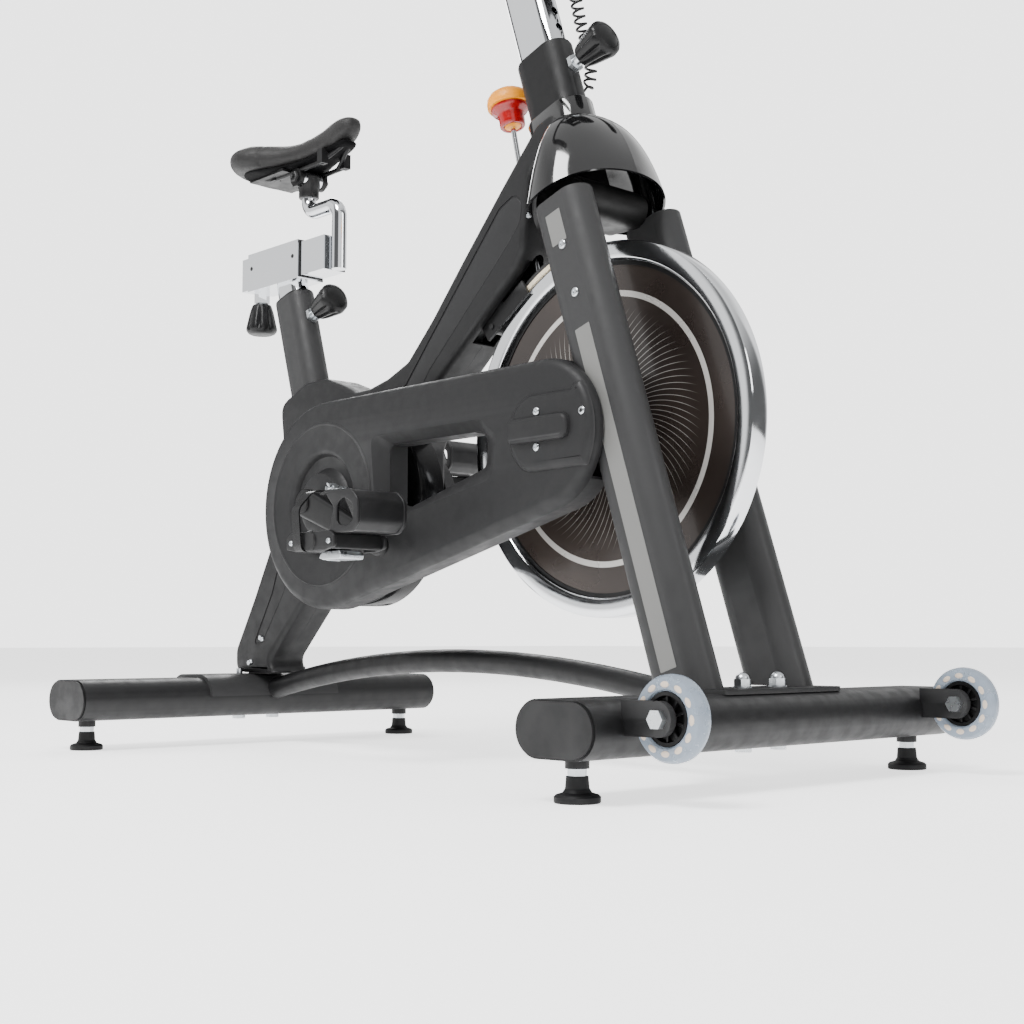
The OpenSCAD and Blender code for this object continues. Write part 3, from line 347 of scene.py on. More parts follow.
def finish_mesh(name, mesh, surface, body, sharp=35, replaces=()):
    """An object around a cleaned mesh, with its material, its body and what it stands for."""
    bm = bmesh.new()
    bm.from_mesh(mesh)
    bmesh.ops.remove_doubles(bm, verts=bm.verts, dist=1e-6)
    bmesh.ops.recalc_face_normals(bm, faces=bm.faces)
    bm.to_mesh(mesh)
    bm.free()
    shade(mesh, sharp)
    obj = bpy.data.objects.new(name, mesh)
    SCENE.collection.objects.link(obj)
    coat(obj, surface)
    if body:
        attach(obj, body)
    if replaces:
        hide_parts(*replaces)
    return obj


def offset_loop(loop, d):
    """Moves a counter-clockwise outline inward by d, or a clockwise hole outward."""
    out = []
    for i, p in enumerate(loop):
        a, b, c = Vector(loop[i - 1]), Vector(p), Vector(loop[(i + 1) % len(loop)])
        e, f = (b - a).normalized(), (c - b).normalized()
        n, m = Vector((-e.y, e.x)), Vector((-f.y, f.x))
        miter = (n + m) / max(0.35, 1 + n.dot(m))
        out.append(tuple(b + miter * d))
    return out


def rounded(points, radius, steps=6):
    """An outline with its corners turned into arcs. radius is one number or one for each corner."""
    out = []
    for i, p in enumerate(points):
        r = radius[i] if isinstance(radius, (list, tuple)) else radius
        a, b, c = Vector(points[i - 1]), Vector(p), Vector(points[(i + 1) % len(points)])
        u, v = (a - b), (c - b)
        half = u.angle(v) / 2
        cut = min(r / math.tan(half), 0.48 * u.length, 0.48 * v.length)
        if r <= 0 or cut < 0.2:
            out.append(tuple(p))
            continue
        start, end = b + u.normalized() * cut, b + v.normalized() * cut
        for k in range(steps + 1):
            t = k / steps
            q = start * (1 - t) ** 2 + b * 2 * t * (1 - t) + end * t ** 2
            out.append(tuple(q))
    return out


def circle(centre, r, n=64, clockwise=False):
    turn = -1 if clockwise else 1
    return [(centre[0] + r * math.cos(turn * 2 * math.pi * k / n),
             centre[1] + r * math.sin(turn * 2 * math.pi * k / n)) for k in range(n)]


def hull_of_circles(c0, r0, c1, r1, n=72):
    """The outline round two circles in X and Z, counter-clockwise from below."""
    d = Vector((c1[0] - c0[0], c1[1] - c0[1]))
    base, lift = math.atan2(d.y, d.x), math.acos((r0 - r1) / d.length)
    out = []
    for k in range(n + 1):
        t = base + lift + (2 * math.pi - 2 * lift) * k / n
        out.append((c0[0] + r0 * math.cos(t), c0[1] + r0 * math.sin(t)))
    for k in range(n + 1):
        t = base - lift + 2 * lift * k / n
        out.append((c1[0] + r1 * math.cos(t), c1[1] + r1 * math.sin(t)))
    return out


def plate_parts(loops, y_face, y_back, bevel, hole_bevel=None, back_bevel=0.0, steps=5):
    """Vertices and faces of a slab from its near face to its back, its edges rounded.

    The first loop is the outline and the rest are holes. A bevel is one number or (wide, deep).
    """
    def arc(t):
        return 1 - math.cos(math.pi / 2 * t), 1 - math.sin(math.pi / 2 * t)
    verts, faces, front, back = [], [], [], []
    s = 1 if y_back > y_face else -1
    quarter = [arc(k / steps) for k in range(steps + 1)]
    for index, loop in enumerate(loops):
        b = bevel if index == 0 or hole_bevel is None else hole_bevel
        wide, deep = b if isinstance(b, tuple) else (b, b)
        profile = [(0.0, y_back)]
        if back_bevel:
            profile = [(back_bevel * v, y_back - s * back_bevel * u) for u, v in quarter]
        profile += [(wide * u, y_face + s * deep * v) for u, v in quarter] if deep else [(0.0, y_face)]
        rows = []
        for inset, y in profile:
            ring = offset_loop(loop, inset) if inset else loop
            rows.append(range(len(verts), len(verts) + len(ring)))
            verts += [(x, y, z) for x, z in ring]
        for lower, upper in zip(rows, rows[1:]):
            n = len(lower)
            faces += [(lower[i], lower[(i + 1) % n], upper[(i + 1) % n], upper[i]) for i in range(n)]
        back.append(rows[0])
        front.append(rows[-1])
    for cap in (front, back):
        flat = [i for row in cap for i in row]
        rings = [[Vector((verts[i][0], verts[i][2], 0)) for i in row] for row in cap]
        faces += [tuple(flat[i] for i in tri) for tri in tessellate_polygon(rings)]
    return verts, faces


def plate(name, loops, y_face, y_back, bevel, surface, body, hole_bevel=None, back_bevel=0.0,
          **more):
    verts, faces = plate_parts(loops, y_face, y_back, bevel, hole_bevel, back_bevel)
    return make(name, verts, faces, surface, body, **more)


def lathe_parts(profile, frame_at, n=96, flute=None):
    """Turns a profile of (radius, height) round an axis. frame_at maps (u, v, w) to the drawing."""
    verts, faces, rows = [], [], []
    for r, h in profile:
        if r < 1e-6:
            rows.append([len(verts)])
            verts.append(frame_at(0, 0, h))
            continue
        rows.append(range(len(verts), len(verts) + n))
        for i in range(n):
            a = 2 * math.pi * i / n
            q = r * (flute(a, h, r) if flute else 1)
            verts.append(frame_at(q * math.cos(a), q * math.sin(a), h))
    for lower, upper in zip(rows, rows[1:]):
        if len(lower) == len(upper) == 1:
            continue
        for i in range(n):
            j = (i + 1) % n
            if len(lower) == 1:
                faces.append((lower[0], upper[j], upper[i]))
            elif len(upper) == 1:
                faces.append((lower[i], lower[j], upper[0]))
            else:
                faces.append((lower[i], lower[j], upper[j], upper[i]))
    return verts, faces


def along_y(centre, y0, side):
    """An axis along Y that starts at y0 and runs to one side."""
    return lambda u, v, w: (centre[0] + u, y0 + side * w, centre[1] + v)


def up_lean(origin, angle):
    """An axis in the middle plane, up a line that leans back from origin."""
    return lambda u, v, w: leaning(origin, angle, u, v, w)


def ahead_of_lean(origin, angle, u0, w0):
    """An axis in the middle plane, square to the line, that starts u0 ahead and w0 up."""
    return lambda u, v, w: leaning(origin, angle, u0 + w, v, w0 + u)


def lathe(name, profile, frame_at, surface, body, n=96, flute=None, closed=False, **more):
    if closed:
        profile = list(profile) + [profile[0]]
    verts, faces = lathe_parts(profile, frame_at, n, flute)
    return make(name, verts, faces, surface, body, **more)


def merge(name, parts, replaces=None):
    """Joins made pieces into one object that keeps each piece's material."""
    base = parts[0]
    for other in parts[1:]:
        other.parent = None
    bm = bmesh.new()
    materials = []
    for obj in parts:
        start = len(materials)
        materials += list(obj.data.materials)
        before = len(bm.faces)
        bm.from_mesh(obj.data)
        bm.faces.ensure_lookup_table()
        for face in bm.faces[before:]:
            face.material_index += start
    mesh = bpy.data.meshes.new(name)
    bm.to_mesh(mesh)
    bm.free()
    for m in materials:
        mesh.materials.append(m)
    base.data = mesh
    base.name = name
    for other in parts[1:]:
        bpy.data.objects.remove(other)
    if replaces:
        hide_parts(replaces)
    return base


def cut(obj, tools):
    """Subtracts closed meshes from obj."""
    for other in tools:
        m = obj.modifiers.new("cut", "BOOLEAN")
        m.operation, m.solver, m.object = "DIFFERENCE", "EXACT", other
    apply_modifiers(obj)
    shade(obj.data)
    for other in tools:
        bpy.data.objects.remove(other)


def tool(parts):
    """A closed mesh to subtract, from its vertices and faces."""
    return make("tool", *parts, COVER, None)


def oval(w, t, n=16):
    """A flat oval of width w and thickness t, counter-clockwise round its middle."""
    r, s = t / 2, (w - t) / 2
    out = [(s + r * math.cos(a), r * math.sin(a))
           for a in (math.pi * (k / n - 0.5) for k in range(n + 1))]
    return out + [(-x, -y) for x, y in out]


def prism(outline, frame_at, w0, w1):
    """A closed bar with an outline of (u, v) between two heights."""
    verts = [frame_at(u, v, w) for w in (w0, w1) for u, v in outline]
    return verts, closed_faces(2, len(outline))


def sweep(name, points, radii, surface, body, n=16, flat=1.0, **more):
    """A round or flattened tube along points, closed at both ends."""
    pts = [Vector(p) for p in points]
    verts, side = [], None
    for i, p in enumerate(pts):
        d = (pts[min(i + 1, len(pts) - 1)] - pts[max(i - 1, 0)]).normalized()
        side = carried(side, d)
        up = d.cross(side)
        r = radii[i] if isinstance(radii, (list, tuple)) else radii
        for k in range(n):
            a = 2 * math.pi * k / n
            verts.append(tuple(p + side * r * math.cos(a) + up * r * flat * math.sin(a)))
    return make(name, verts, closed_faces(len(pts), n), surface, body, **more)


def smooth_path(points, steps):
    """A Catmull-Rom curve through points."""
    pts = [Vector(p) for p in points]
    out = []
    for i in range(len(pts) - 1):
        p0, p1, p2, p3 = pts[max(i - 1, 0)], pts[i], pts[i + 1], pts[min(i + 2, len(pts) - 1)]
        for k in range(steps):
            t = k / steps
            out.append(0.5 * (2 * p1 + (p2 - p0) * t + (2 * p0 - 5 * p1 + 4 * p2 - p3) * t ** 2
                              + (3 * p1 - p0 - 3 * p2 + p3) * t ** 3))
    return out + [pts[-1]]


# ---------- coiled console lead ----------

# From the jack in front of the head tube, up beside the post, into the console
CORD_WAY = [(188, 33.1, 868), (188, 40, 868), (190, 48, 880), (193, 48, 900), (196, 40, 925),
            (195, 29, 950), (194, 21, 980), (191, 14, 1010), (186, 7, 1040), (177.3, 0, 1066),
            (177.3, 0, 1091)]
WIRE, COIL_RADIUS, COIL_PITCH, TURN_POINTS = 3.4, 7.0, 10.0, 16
# Straight wire at each end, and the length over which the coil opens out
COIL_START, COIL_EASE = 4.0, 18.0


def coiled_lead():
    """A helix round the cord's way, which winds slower where it opens out."""
    line = smooth_path(CORD_WAY, 12)
    steps = [0.0]
    for a, b in zip(line, line[1:]):
        steps.append(steps[-1] + (b - a).length)
    total = steps[-1]
    count = int(total / COIL_PITCH * TURN_POINTS)
    points, side, k, turn = [], None, 0, 0.0
    for i in range(count + 1):
        s = total * i / count
        while k < len(line) - 2 and steps[k + 1] < s:
            k += 1
        t = (s - steps[k]) / max(1e-6, steps[k + 1] - steps[k])
        p = line[k].lerp(line[k + 1], t)
        d = (line[min(k + 2, len(line) - 1)] - line[max(k - 1, 0)]).normalized()
        side = carried(side, d)
        up = d.cross(side)
        near_end = min(s, total - s) - COIL_START
        wide = max(0.0, min(1.0, near_end / COIL_EASE))
        wide = wide * wide * (3 - 2 * wide)
        turn += 2 * math.pi / TURN_POINTS * wide ** 3
        points.append(p + (side * math.cos(turn) + up * math.sin(turn)) * COIL_RADIUS * wide)
    lead = sweep("console_lead", points, WIRE / 2, CORD, None, n=10, slot="cord",
                 replaces=["console_cord"], sharp=180)
    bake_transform(lead)


coiled_lead()


# ---------- looks of the CAD nodes that stay ----------

def head_paint_with_painted_shade():
    """Frame paint with painted shade: its colour turns near black below the hood's collar, where the
    hood shades the tube.
    """
    s = paint("head_paint", 15, 0.5, grain=1500, lift=0.22, edge=0.6)
    split = s.node("ShaderNodeSeparateXYZ")
    s.join(s.coords, split.inputs[0])
    # Painted shade: near black below the collar, standing in for the hood's shadow on the tube
    lit = s.ramp(split.outputs[2], 0.775, 0.8)
    s.set_color(s.mix(lit, (0.002, 0.002, 0.002, 1), s.color))
    return s


PLAIN = {
    head_paint_with_painted_shade(): ["head_tube"],
    BASE_PAINT: ["rear_stabilizer", "front_stabilizer", "rear_base_plate"],
    FRAME_PAINT: ["belly_tube", "rear_leg", "main_beam", "bottom_bracket"],
    FORK_PAINT: ["fork_leg_right", "fork_leg_left", "seat_tube"],
    ZINC: ["frame_bolts", "pin_barrels", "cover_screws"],
    STEEL: ["bearings", "flywheel_axle", "crank_axle"],
    PULLEY: ["driven_pulley", "drive_pulley"],
    BELT: ["drive_belt"],
    NYLON: ["post_bushes", "slider_liner", "saddle_base"],
    BLACK_STEEL: ["brake_bracket", "brake_arm"],
    FELT: ["brake_pad"],
    CHROME: ["seat_post", "seat_slider", "bar_post", "resistance_rod"],
    WHEEL_FACE: ["flywheel_disc"],
    GUARD: ["crank_cover_left", "belt_guard_inner"],
    RUBBER: ["foot_rear_right", "foot_rear_left", "foot_front_right", "foot_front_left"],
    FOAM: ["handlebar"],
    CASE: ["console"],
}
for surface, names in PLAIN.items():
    for node_name in names:
        coat(NODES[node_name], surface)


# ---------- small fittings ----------

def socket_screw(name, centre, y, side, r, body="frame"):
    """A round-headed screw with a six-sided socket, its head pointing to one side of Y."""
    head = [(0, 0.9), (r * 0.42, 0.9), (r * 0.5, 2.3), (r * 0.75, 2.2), (r * 0.95, 1.4), (r, 0.5),
            (r, -0.4), (0, -0.4)]

    def six(a, h, q):
        return 1.0 if q > r * 0.45 or q < 0.1 else 0.92 / math.cos((a % (math.pi / 3)) - math.pi / 6)
    lathe(name, head, along_y(centre, y, side), ZINC, body, n=24, flute=six, slot="zinc")


# ---------- flywheel ----------

def flywheel():
    half, outer, inner = 13.95, 230.0, 206.0
    ring = [(inner, 7.0), (inner, half - 3.0), (inner + 2.2, half - 0.6), (inner + 3.4, half),
            (outer - 3, half), (outer - 0.8, half - 0.8), (outer, half - 3)]
    profile = ring + [(r, -h) for r, h in reversed(ring)]
    lathe("flywheel_ring", profile, along_y(AXLE, 0, 1), RIM, "flywheel", n=240, closed=True,
          slot="flywheel_edge", replaces=["flywheel_rim"])
    for side in (-1, 1):
        seam = [(200.5, 6.9), (200.5, 8.1), (205.9, 8.1), (205.9, 6.9)]
        lathe(f"flywheel_lip_{side + 1}", seam, along_y(AXLE, 0, side), NYLON, "flywheel", n=160,
              closed=True, slot="flywheel_face")


flywheel()


# ---------- belt guard ----------

GUARD_REAR_R, GUARD_FRONT, GUARD_FRONT_R = 143.0, (268.7, 396.5), 90.0
GUARD_FACE, GUARD_SPLIT = -120.0, -106.0
POD_R = 88.5
WINDOW = [(-25, 412), (156, 412), (166, 400), (165, 367), (11, 325), (-25, 334)]
WINDOW_SLOPE = [(-52, 426), (163, 426), (196, 402), (190, 350), (12, 314), (-40, 307)]


def window_ramp():
    """The slope from the guard's face down to its window, and the window's edge."""
    slope = rounded(WINDOW_SLOPE, [14, 22, 14, 26, 14, 22])
    window = rounded(WINDOW, [10, 9, 6, 13, 12, 10])
    rings = ((slope, GUARD_FACE, 0.0), (slope, GUARD_FACE, 1.2), (window, GUARD_SPLIT - 3.0, -1.0),
             (window, GUARD_SPLIT - 1.6, 0.0), (window, GUARD_SPLIT, 0.0), (slope, GUARD_SPLIT, 0.0))
    verts = [(x, y, z) for loop, y, d in rings for x, z in (offset_loop(loop, -d) if d else loop)]
    faces = ring_faces(len(rings), len(window))
    return slope, make("guard_ramp", verts, faces, GUARD, "frame")


def crank_dish():
    """The dished boss round the crank."""
    ring = [(112.4, -8), (112.4, 0.2), (110.6, 1.6), (109.2, 0.4), (108, -0.0), (76, -0.2), (72, -1.4),
            (69, -4.5), (66.5, -10), (64, -11), (51, -11.5), (48, -9), (45, -2), (42, 3.5), (38, 5.2),
            (30, 5.8), (16, 6), (14.2, 5), (14.2, -11), (60, -12.5), (112.4, -12.5)]
    return lathe("guard_boss", ring, along_y(CRANK, GUARD_FACE, -1), GUARD, "frame", n=160,
                 closed=True)


def front_pod():
    """The raised field at the front end, and the bar across it."""
    arc = [(GUARD_FRONT[0] + POD_R * math.cos(math.radians(t)),
            GUARD_FRONT[1] + POD_R * math.sin(math.radians(t))) for t in range(-29, 43, 4)]
    left = [(258 + 40 * math.cos(math.radians(t)), 398 + 46 * math.sin(math.radians(t)))
            for t in range(90, 271, 12)]
    pod = plate("guard_pod", [arc + [(327, 450), (322, 444)] + left], GUARD_FACE - 5.6,
                GUARD_FACE + 2, (11.0, 7.6), GUARD, "frame")
    bar_outline = rounded([(226, 386), (324, 386), (324, 416), (226, 416)], [6, 13, 13, 6])
    bar = plate("guard_bar", [bar_outline], GUARD_FACE - 13, GUARD_FACE - 4, 5.0, GUARD, "frame")
    return [pod, bar]


def belt_guard():
    outline = hull_of_circles(CRANK, GUARD_REAR_R, GUARD_FRONT, GUARD_FRONT_R)
    boss = circle(CRANK, 112.5, 96, clockwise=True)
    slope, ramp = window_ramp()
    face = plate("guard_face", [outline, slope, boss], GUARD_FACE, GUARD_SPLIT, 13.0, GUARD,
                 "frame", hole_bevel=(0.0, 0.0))
    merge("guard_shell", [face, ramp, crank_dish()] + front_pod(), "belt_guard_outer")
    for i, (x, z, y) in enumerate([(270, 422, -125.5), (270, 380.3, -125.5), (342.5, 415.5, -124)]):
        socket_screw(f"guard_screw_{i}", (x, z), y, -1, 5.0)


belt_guard()


# ---------- body covers ----------

COVER_OUTLINE = [(-504, 107), (-504, 143), (-455, 223), (-412, 300), (-389, 370), (-384, 430),
                 (-384, 458), (-392, 515), (-326, 541), (-275, 541), (-240, 528), (-206, 513),
                 (-170, 514), (-130, 523), (-85, 541), (-32, 593), (30, 662), (108, 746),
                 (172, 812), (206, 823), (216, 792), (160, 752), (155, 706), (150, 655),
                 (134, 630), (5, 523), (-45, 480), (-75, 420), (-75, 330), (-95, 290),
                 (-140, 267), (-200, 272), (-240, 297), (-316, 221), (-412, 127), (-398, 107)]
COVER_HALF, COVER_WALL = 33.0, 3.0
BEAM_PANEL = [(-128, 398), (-34, 520), (120, 662), (146, 690), (150, 716), (134, 730), (104, 716),
              (36, 642), (-34, 566), (-86, 508), (-140, 476), (-168, 440)]
BRAKE_AT, BRAKE_LEAN = (95, 590), math.radians(36)
LEG_PANEL = [(-452, 150), (-404, 228), (-376, 300), (-352, 372), (-330, 372), (-340, 300),
             (-372, 226), (-428, 150)]


def cover_openings():
    """What the covers leave free: seat tube, hood collar, head tube, brake rod and brake."""
    head = up_lean(HEAD_TOP, LEAN)
    return [tool(prism(oval(71, 46), up_lean(SEAT_TOP, SEAT_LEAN), -180, 10)),
            tool(prism(oval(96.6, 60.6), head, COLLAR_LOW - 0.5, 0)),
            tool(prism(oval(85, 49), head, -220, COLLAR_LOW)),
            tool(prism(circle((0, 0), 10.5, 32), up_lean(ROD_TOP, ROD_LEAN), -210, 0)),
            tool(prism([(-70, -19.5), (70, -19.5), (70, 19.5), (-70, 19.5)],
                       up_lean(BRAKE_AT, BRAKE_LEAN), -30, 30))]


def body_cover(side):
    """One half of the cover, hollow, with a sunk panel on the beam and one on the rear leg."""
    outline = rounded(COVER_OUTLINE, 26, 4)[::-1]
    hand = "right" if side < 0 else "left"
    panels = ((rounded(BEAM_PANEL, 16, 5), COVER_PANEL), (rounded(LEG_PANEL[::-1], 9, 4), COVER))
    shell = plate(f"cover_{hand}", [outline], side * COVER_HALF, side * 0.1, 9.0, COVER, None)
    tools = [tool(plate_parts([offset_loop(outline, COVER_WALL)], side * (COVER_HALF - COVER_WALL),
                              -side * 2, 6.5))]
    for loop, _ in panels:
        tools.append(tool(plate_parts([loop], side * (COVER_HALF - 0.9), side * (COVER_HALF + 4), 0)))
    cut(shell, tools + cover_openings())
    parts = [shell]
    for k, (loop, surface) in enumerate(panels):
        parts.append(plate(f"panel_{k}", [offset_loop(loop, 2.4)], side * (COVER_HALF - 0.25),
                           side * (COVER_HALF - 2.5), 1.2, surface, None))
    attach(merge(f"cover_{hand}", parts, f"body_cover_{hand}"), "frame")


def housing():
    """Round housing behind the drive pulley, on the right cover."""
    rings = [(30.5, 25), (30.5, 22), (134.5, 22), (135, 0), (135, -17.5), (138, -17.5), (138, 18),
             (136.5, 22), (132, 25)]
    lathe("pulley_housing", rings, along_y(CRANK, -COVER_HALF, -1), GUARD_WALL, "frame", n=128,
          closed=True, slot="cover")


for s in (-1, 1):
    body_cover(s)
housing()
for k, (x, z) in enumerate([(-428, 158), (-458, 124), (161, 695)]):
    for s in (-1, 1):
        socket_screw(f"cover_screw_{k}_{s + 1}", (x, z), s * COVER_HALF, s, 3.6)


# ---------- hood over the top of the fork ----------

HOOD_FRONT = ((241, 811), (317, 723))
HOOD_SIDE = ((224, 36.5, 804), (236, 108, 680))
HOOD_REAR = ((203, 36.5, 792), (158, 35, 700))
HOOD_FULL, HOOD_TURN, HOOD_SEAM, HOOD_WALL = 0.95, math.radians(52), 0.15, 3.0
FRONT_PART = 0.65


def hood_point(s, t):
    """A point of the outer skin: s from the collar to the lip, t from the seam to the rear."""
    def mix(a, b, k):
        return a + (b - a) * k
    out = math.sin(HOOD_TURN * s) / math.sin(HOOD_TURN)
    down = (1 - math.cos(HOOD_TURN * s)) / (1 - math.cos(HOOD_TURN))
    fx, fz = [mix(a, b, k) for a, b, k in zip(*HOOD_FRONT, (out, down))]
    sx, sy, sz = [mix(a, b, k) for a, b, k in zip(*HOOD_SIDE, (s, out, down))]
    rx, ry, rz = [mix(a, b, k) for a, b, k in zip(*HOOD_REAR, (out, 0, s))]
    k = min(1.0, t / FRONT_PART)
    m = max(0.0, (t - FRONT_PART) / (1 - FRONT_PART))
    if m > 0:
        m = m * m * (3 - 2 * m) * 0.5 + m * 0.5
        return mix(sx, rx, m), mix(sy, ry, m), mix(sz, rz, m * m)
    c, n = max(0.0, math.cos(math.pi / 2 * k)), math.sin(math.pi / 2 * k)
    return sx + (fx - sx) * c ** HOOD_FULL, sy * n ** HOOD_FULL, mix(fz, sz, k * k)


def hood_skin(side, hand):
    """The domed half from the collar to the lip."""
    rows, cols = 22, 44
    grid = []
    for i in range(rows + 1):
        for j in range(cols + 1):
            x, y, z = hood_point(i / rows, j / cols)
            grid.append(Vector((x, side * max(y, HOOD_SEAM), z)))
    for _ in range(3):
        smoothed = list(grid)
        for i in range(1, rows):
            for j in range(1, cols):
                k = i * (cols + 1) + j
                smoothed[k] = (grid[k] * 2 + grid[k - 1] + grid[k + 1]
                               + grid[k - cols - 1] + grid[k + cols + 1]) / 6
        grid = smoothed
    faces = [(i * (cols + 1) + j, i * (cols + 1) + j + 1, (i + 1) * (cols + 1) + j + 1,
              (i + 1) * (cols + 1) + j) for i in range(rows) for j in range(cols)]
    skin = make(f"hood_{hand}", [tuple(p) for p in grid], faces, HOOD, None, sharp=60)
    outward = sum((p.center - at(250, 0, 740)).dot(p.normal) for p in skin.data.polygons)
    wall = skin.modifiers.new("wall", "SOLIDIFY")
    wall.thickness = HOOD_WALL * MM
    wall.offset = -1 if outward > 0 else 1
    wall.use_even_offset = True
    apply_modifiers(skin)
    shade(skin.data)
    return skin


def hood_collar(side, hand):
    """Half of the oval collar round the head tube. Its section is (reach, height)."""
    section = ((48.2, -0.2), (48.2, 34.0), (47.4, 35.8), (43.9, 35.8), (43.2, 34.5), (43.2, -0.2))
    straight, n = 18, 24
    verts = []
    for w, h in section:
        r = w - straight
        for k in range(n + 1):
            c = math.cos(math.pi * k / n)
            end = 0 if k == n / 2 else math.copysign(straight, c)
            verts.append(leaning(HEAD_TOP, LEAN, end + r * c,
                                 side * max(HOOD_SEAM, r * math.sin(math.pi * k / n)), COLLAR_LOW + h))
    m, rows = n + 1, len(section)
    faces = [(i * m + j, i * m + j + 1, (i + 1) % rows * m + j + 1, (i + 1) % rows * m + j)
             for i in range(rows) for j in range(n)]
    faces += [tuple(i * m for i in range(rows)), tuple(i * m + n for i in range(rows))]
    return make(f"collar_{hand}", verts, faces, HOOD, None)


def hood(side):
    hand = "right" if side < 0 else "left"
    parts = [hood_skin(side, hand), hood_collar(side, hand)]
    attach(merge(f"hood_{hand}", parts, f"head_shroud_{hand}"), "frame")


hood(-1)
hood(1)


# ---------- fork legs: foil strips and screws ----------

def leg_place(u, w, y):
    """A place u ahead of and w up the middle line of a fork leg."""
    return leaning(LEG_FOOT, LEAN, u, y, w)


def leg_label(name, u0, u1, w0, w1, side):
    """Thin plain foil on the outer face of a fork leg."""
    y = side * (LEG_SIDE + LEG_THICK / 2)
    corners = rounded([(u0, w0), (u1, w0), (u1, w1), (u0, w1)], 1.2, 3)
    parts = prism(corners, lambda u, w, t: leg_place(u, w, y + side * t), -0.2, 0.35)
    make(name, *parts, LABEL, "frame", slot="zinc")


for s in (-1, 1):
    leg_label(f"leg_label_{s + 1}", -15.5, 8.5, 547, 588, s)
    leg_label(f"leg_strip_{s + 1}", -13.5, 10.0, 22, 436, s)
    for k, (u, w) in enumerate(((0, 543), (1, 479))):
        x, _, z = leg_place(u, w, 0)
        socket_screw(f"leg_screw_{k}_{s + 1}", (x, z), s * 103.0, s, 5.6)


# ---------- plate under the fork legs ----------

def fork_plate():
    """A flat plate with softened edges, lying on the flat of the front stabilizer."""
    x, half_x, half_y, z, thick = 493, 35, 102, 99.6, 5.4
    loop = rounded([(x - half_x, -half_y), (x + half_x, -half_y), (x + half_x, half_y),
                    (x - half_x, half_y)], 3, 3)
    edge = ((0.0, 0.0), (0.0, thick - 1.0), (0.3, thick - 0.3), (1.0, thick))
    verts = [(px, py, z + dz) for inset, dz in edge
             for px, py in (offset_loop(loop, inset) if inset else loop)]
    make("fork_plate", verts, closed_faces(len(edge), len(loop)), BASE_PAINT, "frame",
         slot="frame_paint", replaces=["front_base_plate"])


fork_plate()


# ---------- transport wheels ----------

WHEEL_AT, WHEEL_IN, WHEEL_WIDTH = (590.0, 83.0), 247.0, 22.0


def turned_about(centre, a, x, y):
    """A place x out and y across, on a ray at angle a from centre."""
    return (centre[0] + x * math.cos(a) - y * math.sin(a),
            centre[1] + x * math.sin(a) + y * math.cos(a))


def transport_wheel(side, hand):
    """Clear tyre with a ring of pockets, on a black core with ten spokes."""
    body = f"{hand}_transport_wheel"
    middle = side * (WHEEL_IN + WHEEL_WIDTH / 2)
    tyre_profile = [(26.2, 9.0), (26.2, -9.0), (28, -10.5), (34, -11), (39, -9.2), (41.4, -5.5),
                    (42, 0), (41.4, 5.5), (39, 9.2), (34, 11), (28, 10.5)]
    lathe(f"tyre_{hand}", tyre_profile, along_y(WHEEL_AT, middle, 1), TYRE, body, n=96, closed=True,
          slot="clear_tyre", replaces=[f"transport_wheel_{hand}"])
    pockets = []
    for k in range(12):
        loop = [turned_about(WHEEL_AT, 2 * math.pi * k / 12, 32.3 + u, v)
                for u, v in ((3.1 * x, 5.4 * y) for x, y in circle((0, 0), 1, 20))]
        pockets.append(plate(f"pocket_{k}", [loop], middle - 11.3, middle + 11.3, 1.0, TYRE_POCKET,
                             body, back_bevel=1.0))
    merge(f"tyre_pockets_{hand}", pockets)
    core = [(5.2, 8), (9, 8.6), (9.5, 4), (20.5, 4.2), (22, 9.4), (25.5, 9.6), (26.1, 8.4)]
    profile = core + [(r, -h) for r, h in reversed(core)]
    parts = [lathe("core", profile, along_y(WHEEL_AT, middle, 1), NYLON, body, n=64, closed=True)]
    for k in range(10):
        loop = [turned_about(WHEEL_AT, 2 * math.pi * (k + 0.5) / 10, r, t)
                for r, t in ((9, -1.2), (21.5, -1.2), (21.5, 1.2), (9, 1.2))]
        parts.append(plate("spoke", [loop], middle - 8.2, middle + 8.2, 0.6, NYLON, body,
                           back_bevel=0.6))
    merge(f"wheel_core_{hand}", parts)


transport_wheel(-1, "right")
transport_wheel(1, "left")


# ---------- pull knobs ----------

def pull_knob(name, frame_at, body, node):
    """Fluted knob, wide at its outer end and plain on top, on a zinc stem."""
    profile = [(0, 17), (12.5, 17), (14.2, 17.8), (15.5, 20), (18.2, 28), (20.6, 38), (22.6, 47),
               (24.2, 54), (24.4, 57), (23.6, 60.5), (21, 63.5), (17.2, 65.2), (16.8, 64.6),
               (16.2, 64.8), (10, 66.2), (0, 66.8)]

    def flute(a, h, r):
        depth = 0.15 * max(0.0, min(1.0, (h - 18) / 8, (62 - h) / 9))
        return 1 - depth * (0.5 + 0.5 * math.cos(8 * a)) ** 4
    grip = lathe(name, profile, frame_at, KNOB, body, n=144, flute=flute)
    stem = lathe(name + "_stem", [(0, -3), (5, -3), (5, 17.5), (0, 17.5)], frame_at, ZINC, body,
                 n=32)
    merge(name, [grip, stem], node)


pull_knob("knob_seat_post", ahead_of_lean(SEAT_TOP, SEAT_LEAN, 35.0, -43.5), "seat_post_pin",
          "seat_post_knob")
pull_knob("knob_bar_post", ahead_of_lean(HEAD_TOP, LEAN, 42.0, -37.4), "bar_post_pin",
          "bar_post_knob")
pull_knob("knob_slider", lambda u, v, w: (-491 + u, v, 707 - w), "slider_pin", "slider_knob")


